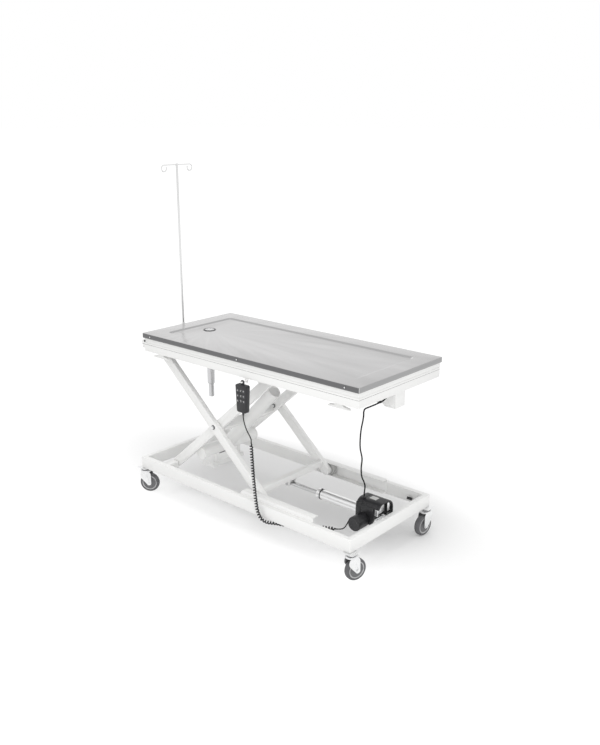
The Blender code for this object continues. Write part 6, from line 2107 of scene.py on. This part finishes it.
@dataclass
class DripPole(Assembly):
    """Drip pole with its hook bar and the clamp knob."""

    x: float = -0.042
    radius: float = 0.006
    low: float = 0.7755
    top: float = 1.663
    wire: float = 0.003
    reach: float = 0.082
    loop: float = 0.0155
    knob_height: float = 0.040
    knob_start: float = 0.0133
    stud: float = 0.012
    knob_length: float = 0.016
    knob_radius: float = 0.0138
    stud_radius: float = 0.004

    def build(self) -> None:
        """Make the pole, its hooks and the knob."""
        shop, x = self.shop, self.x
        form = Form().rod((x, 0.0, self.low + 0.0063), (x, 0.0, self.top), self.radius, 0.0015, 32)
        bar = self.top - 2 * self.wire
        hook = arc((self.reach, bar - self.loop), self.loop, QUARTER, math.radians(-200.0), 30)
        form.tube([(x, -y, z) for y, z in reversed(hook)] + [(x, y, z) for y, z in hook], self.wire, 16,
                  True)
        shop.piece("iv_pole_drawn", form, "iv_pole", [Finishes.POLE], "iv_pole")
        middle = self.low + self.knob_height
        start, tip = self.knob_start, self.knob_start + self.stud
        long, radius, stud = self.knob_length, self.knob_radius, self.stud_radius
        profile = fillet([(0.0, tip + long), (radius * 0.8, tip + long), (radius, tip + long - 0.004),
                          (radius, tip + 0.004), (radius * 0.6, tip), (stud, tip), (stud, start),
                          (0.0, start)], 0.0014, 3)
        shop.piece("pole_knob_turned", Form().turned(profile, along((x, 0.0, middle), LEFT), 48),
                   "pole_knob", [Finishes.BLACK], "pole_knob")
        shop.grow("pole_knob_ribs", "pole_knob", shop.ribs, [((x - tip - long / 2, 0.0, middle), LEFT)],
                  Finishes.BLACK, Ring_Radius=radius, Rib_Length=0.0085, Rib_Width=0.0018, Rib_Depth=0.0022,
                  Count=18)


@dataclass
class Handset(Assembly):
    """Handset case with six keys and their signs."""

    x: float = 0.711
    top: float = 0.753
    height: float = 0.128
    top_width: float = 0.068
    low_width: float = 0.056
    front: float = -0.330
    back: float = -0.304
    corner: float = 0.008
    column: float = 0.0185
    key: Pair = (0.015, 0.014)
    key_gap: float = 0.0004
    key_rise: float = 0.0015
    arrow: float = 0.0034
    ink: float = 0.0003
    ink_edge: float = 0.0001
    rows: tuple = (("top", 0.727), ("middle", 0.703), ("bottom", 0.679))

    def outline(self) -> list[Pair]:
        """Closed outline of the case, wider at the top.

        Returns:
            The outline.
        """
        x, top, low, r = self.x, self.top, self.top - self.height, self.corner
        wide, slim = self.top_width / 2, self.low_width / 2
        loop = arc((x + wide - r, top - r), r, 0.0, QUARTER, 8)
        loop += arc((x - wide + r, top - r), r, QUARTER, math.pi, 8)
        loop += arc((x - slim + r, low + r), r, math.pi, 1.5 * math.pi, 8)
        return loop + arc((x + slim - r, low + r), r, -QUARTER, 0.0, 8)

    def case(self) -> None:
        """Mould the case with its pockets, eyelet and strain relief."""
        middle, low = (self.front + self.back) / 2, self.top - self.height
        seat = Matrix.Translation((0.0, middle, 0.0))
        mesh = Form().plate(self.outline(), self.back - self.front, 0.0034, seat).mesh()
        mesh = baked(mesh, "BEVEL", width=0.0006, segments=1, limit_method="ANGLE",
                     angle_limit=math.radians(60))
        pockets = Form()
        half_x, half_z = (size / 2 + self.key_gap for size in self.key)
        for _, z in self.rows:
            for side in (-1, 1):
                x = self.x + side * self.column
                pockets.box((x - half_x, self.front - 0.003, z - half_z),
                            (x + half_x, self.front + 0.004, z + half_z), 0.0003)
        form = Form().add(without(mesh, pockets.mesh()))
        peg = self.top + 0.011
        eyelet = link_outline((self.x, peg), 0.010, (self.x, self.top - 0.010), 0.010)
        form.plate(eyelet, 0.006, 0.001, seat, (circle((self.x, peg), 0.0046),))
        relief = [(0.0, low + 0.003), (0.0060, low + 0.003), (0.0060, low - 0.0015)]
        for i in range(4):
            z = low - 0.003 - 0.0032 * i
            size = 0.0054 - 0.0005 * i
            relief += [(size, z), (size, z - 0.0016), (size - 0.0009, z - 0.0018),
                       (size - 0.0009, z - 0.0028)]
        tip = low - 0.0162
        relief += [(0.0030, tip), (0.0, tip)]
        form.turned(relief, Matrix.Translation((self.x, middle, 0.0)), 28)
        self.shop.piece("handset_case_moulded", form, "lift_frame", [Finishes.BLACK], "handset_case")

    def keys(self) -> None:
        """Make the six keys, each with its arrow and a bar behind it."""
        half_x, half_z = self.key[0] / 2, self.key[1] / 2
        face, wide = self.front - self.key_rise, self.arrow
        for name, row in self.rows:
            for word, side, tip in (("up", -1, 1.0), ("down", 1, -1.0)):
                x, z = self.x + side * self.column, row
                form = Form().box((x - half_x, face, z - half_z),
                                  (x + half_x, self.front + 0.0027, z + half_z), 0.0011)
                arrow = [(x - wide, z - 0.0016 * tip), (x + wide, z - 0.0016 * tip), (x, z + wide * tip)]
                form.finish = 1
                form.plate(arrow if tip > 0 else arrow[::-1], 0.0004, self.ink_edge,
                           Matrix.Translation((0.0, face - 0.0001, 0.0)))
                form.box((x - wide, face - self.ink, z - 0.0036 * tip - 0.0005),
                         (x + wide, face, z - 0.0036 * tip + 0.0005), self.ink_edge)
                node = f"key_{name}_{word}"
                self.shop.piece(f"{node}_moulded", form, node, [Finishes.KEYS, Finishes.PRINT], node)

    def signs(self) -> None:
        """Print a sign between the keys of each row: a table top on its foot, leaning in the last row."""
        form, thick, edge = Form(), self.ink, self.ink_edge
        for name, z in self.rows:
            spot = (self.x, self.front - 0.0001, z)
            still = Matrix.Translation(spot)
            form.box((-0.0052, -thick, 0.0022), (0.0052, thick, 0.0034), edge,
                     turned_at(spot, 0.35 if name == "bottom" else 0.0))
            form.box((-0.0044, -thick, -0.0042), (0.0044, thick, -0.0034), edge, still)
            if name == "middle":
                for side in (-1, 1):
                    form.box((-0.0046, -thick, -0.0008), (0.0046, thick, 0.0), edge,
                             turned_at(spot, side * 0.75))
            else:
                form.box((-0.0005, -thick, -0.0036), (0.0005, thick, 0.0024), edge, still)
        self.shop.piece("handset_signs", form, "lift_frame", [Finishes.PRINT])

    def build(self) -> None:
        """Make the handset."""
        self.case()
        self.keys()
        self.signs()


def main() -> None:
    """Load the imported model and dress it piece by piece."""
    logging.basicConfig(level=logging.INFO, format="%(name)s: %(message)s")
    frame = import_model()
    shop = Workshop(frame)
    for kind in (Studio, Cords, Base, Casters, Scissor, LiftActuator, UpperFrames, SteelTop, DripPole,
                 Handset):
        kind(shop).build()
        LOG.info("%s done", kind.__name__)


if __name__ == "__main__":
    main()
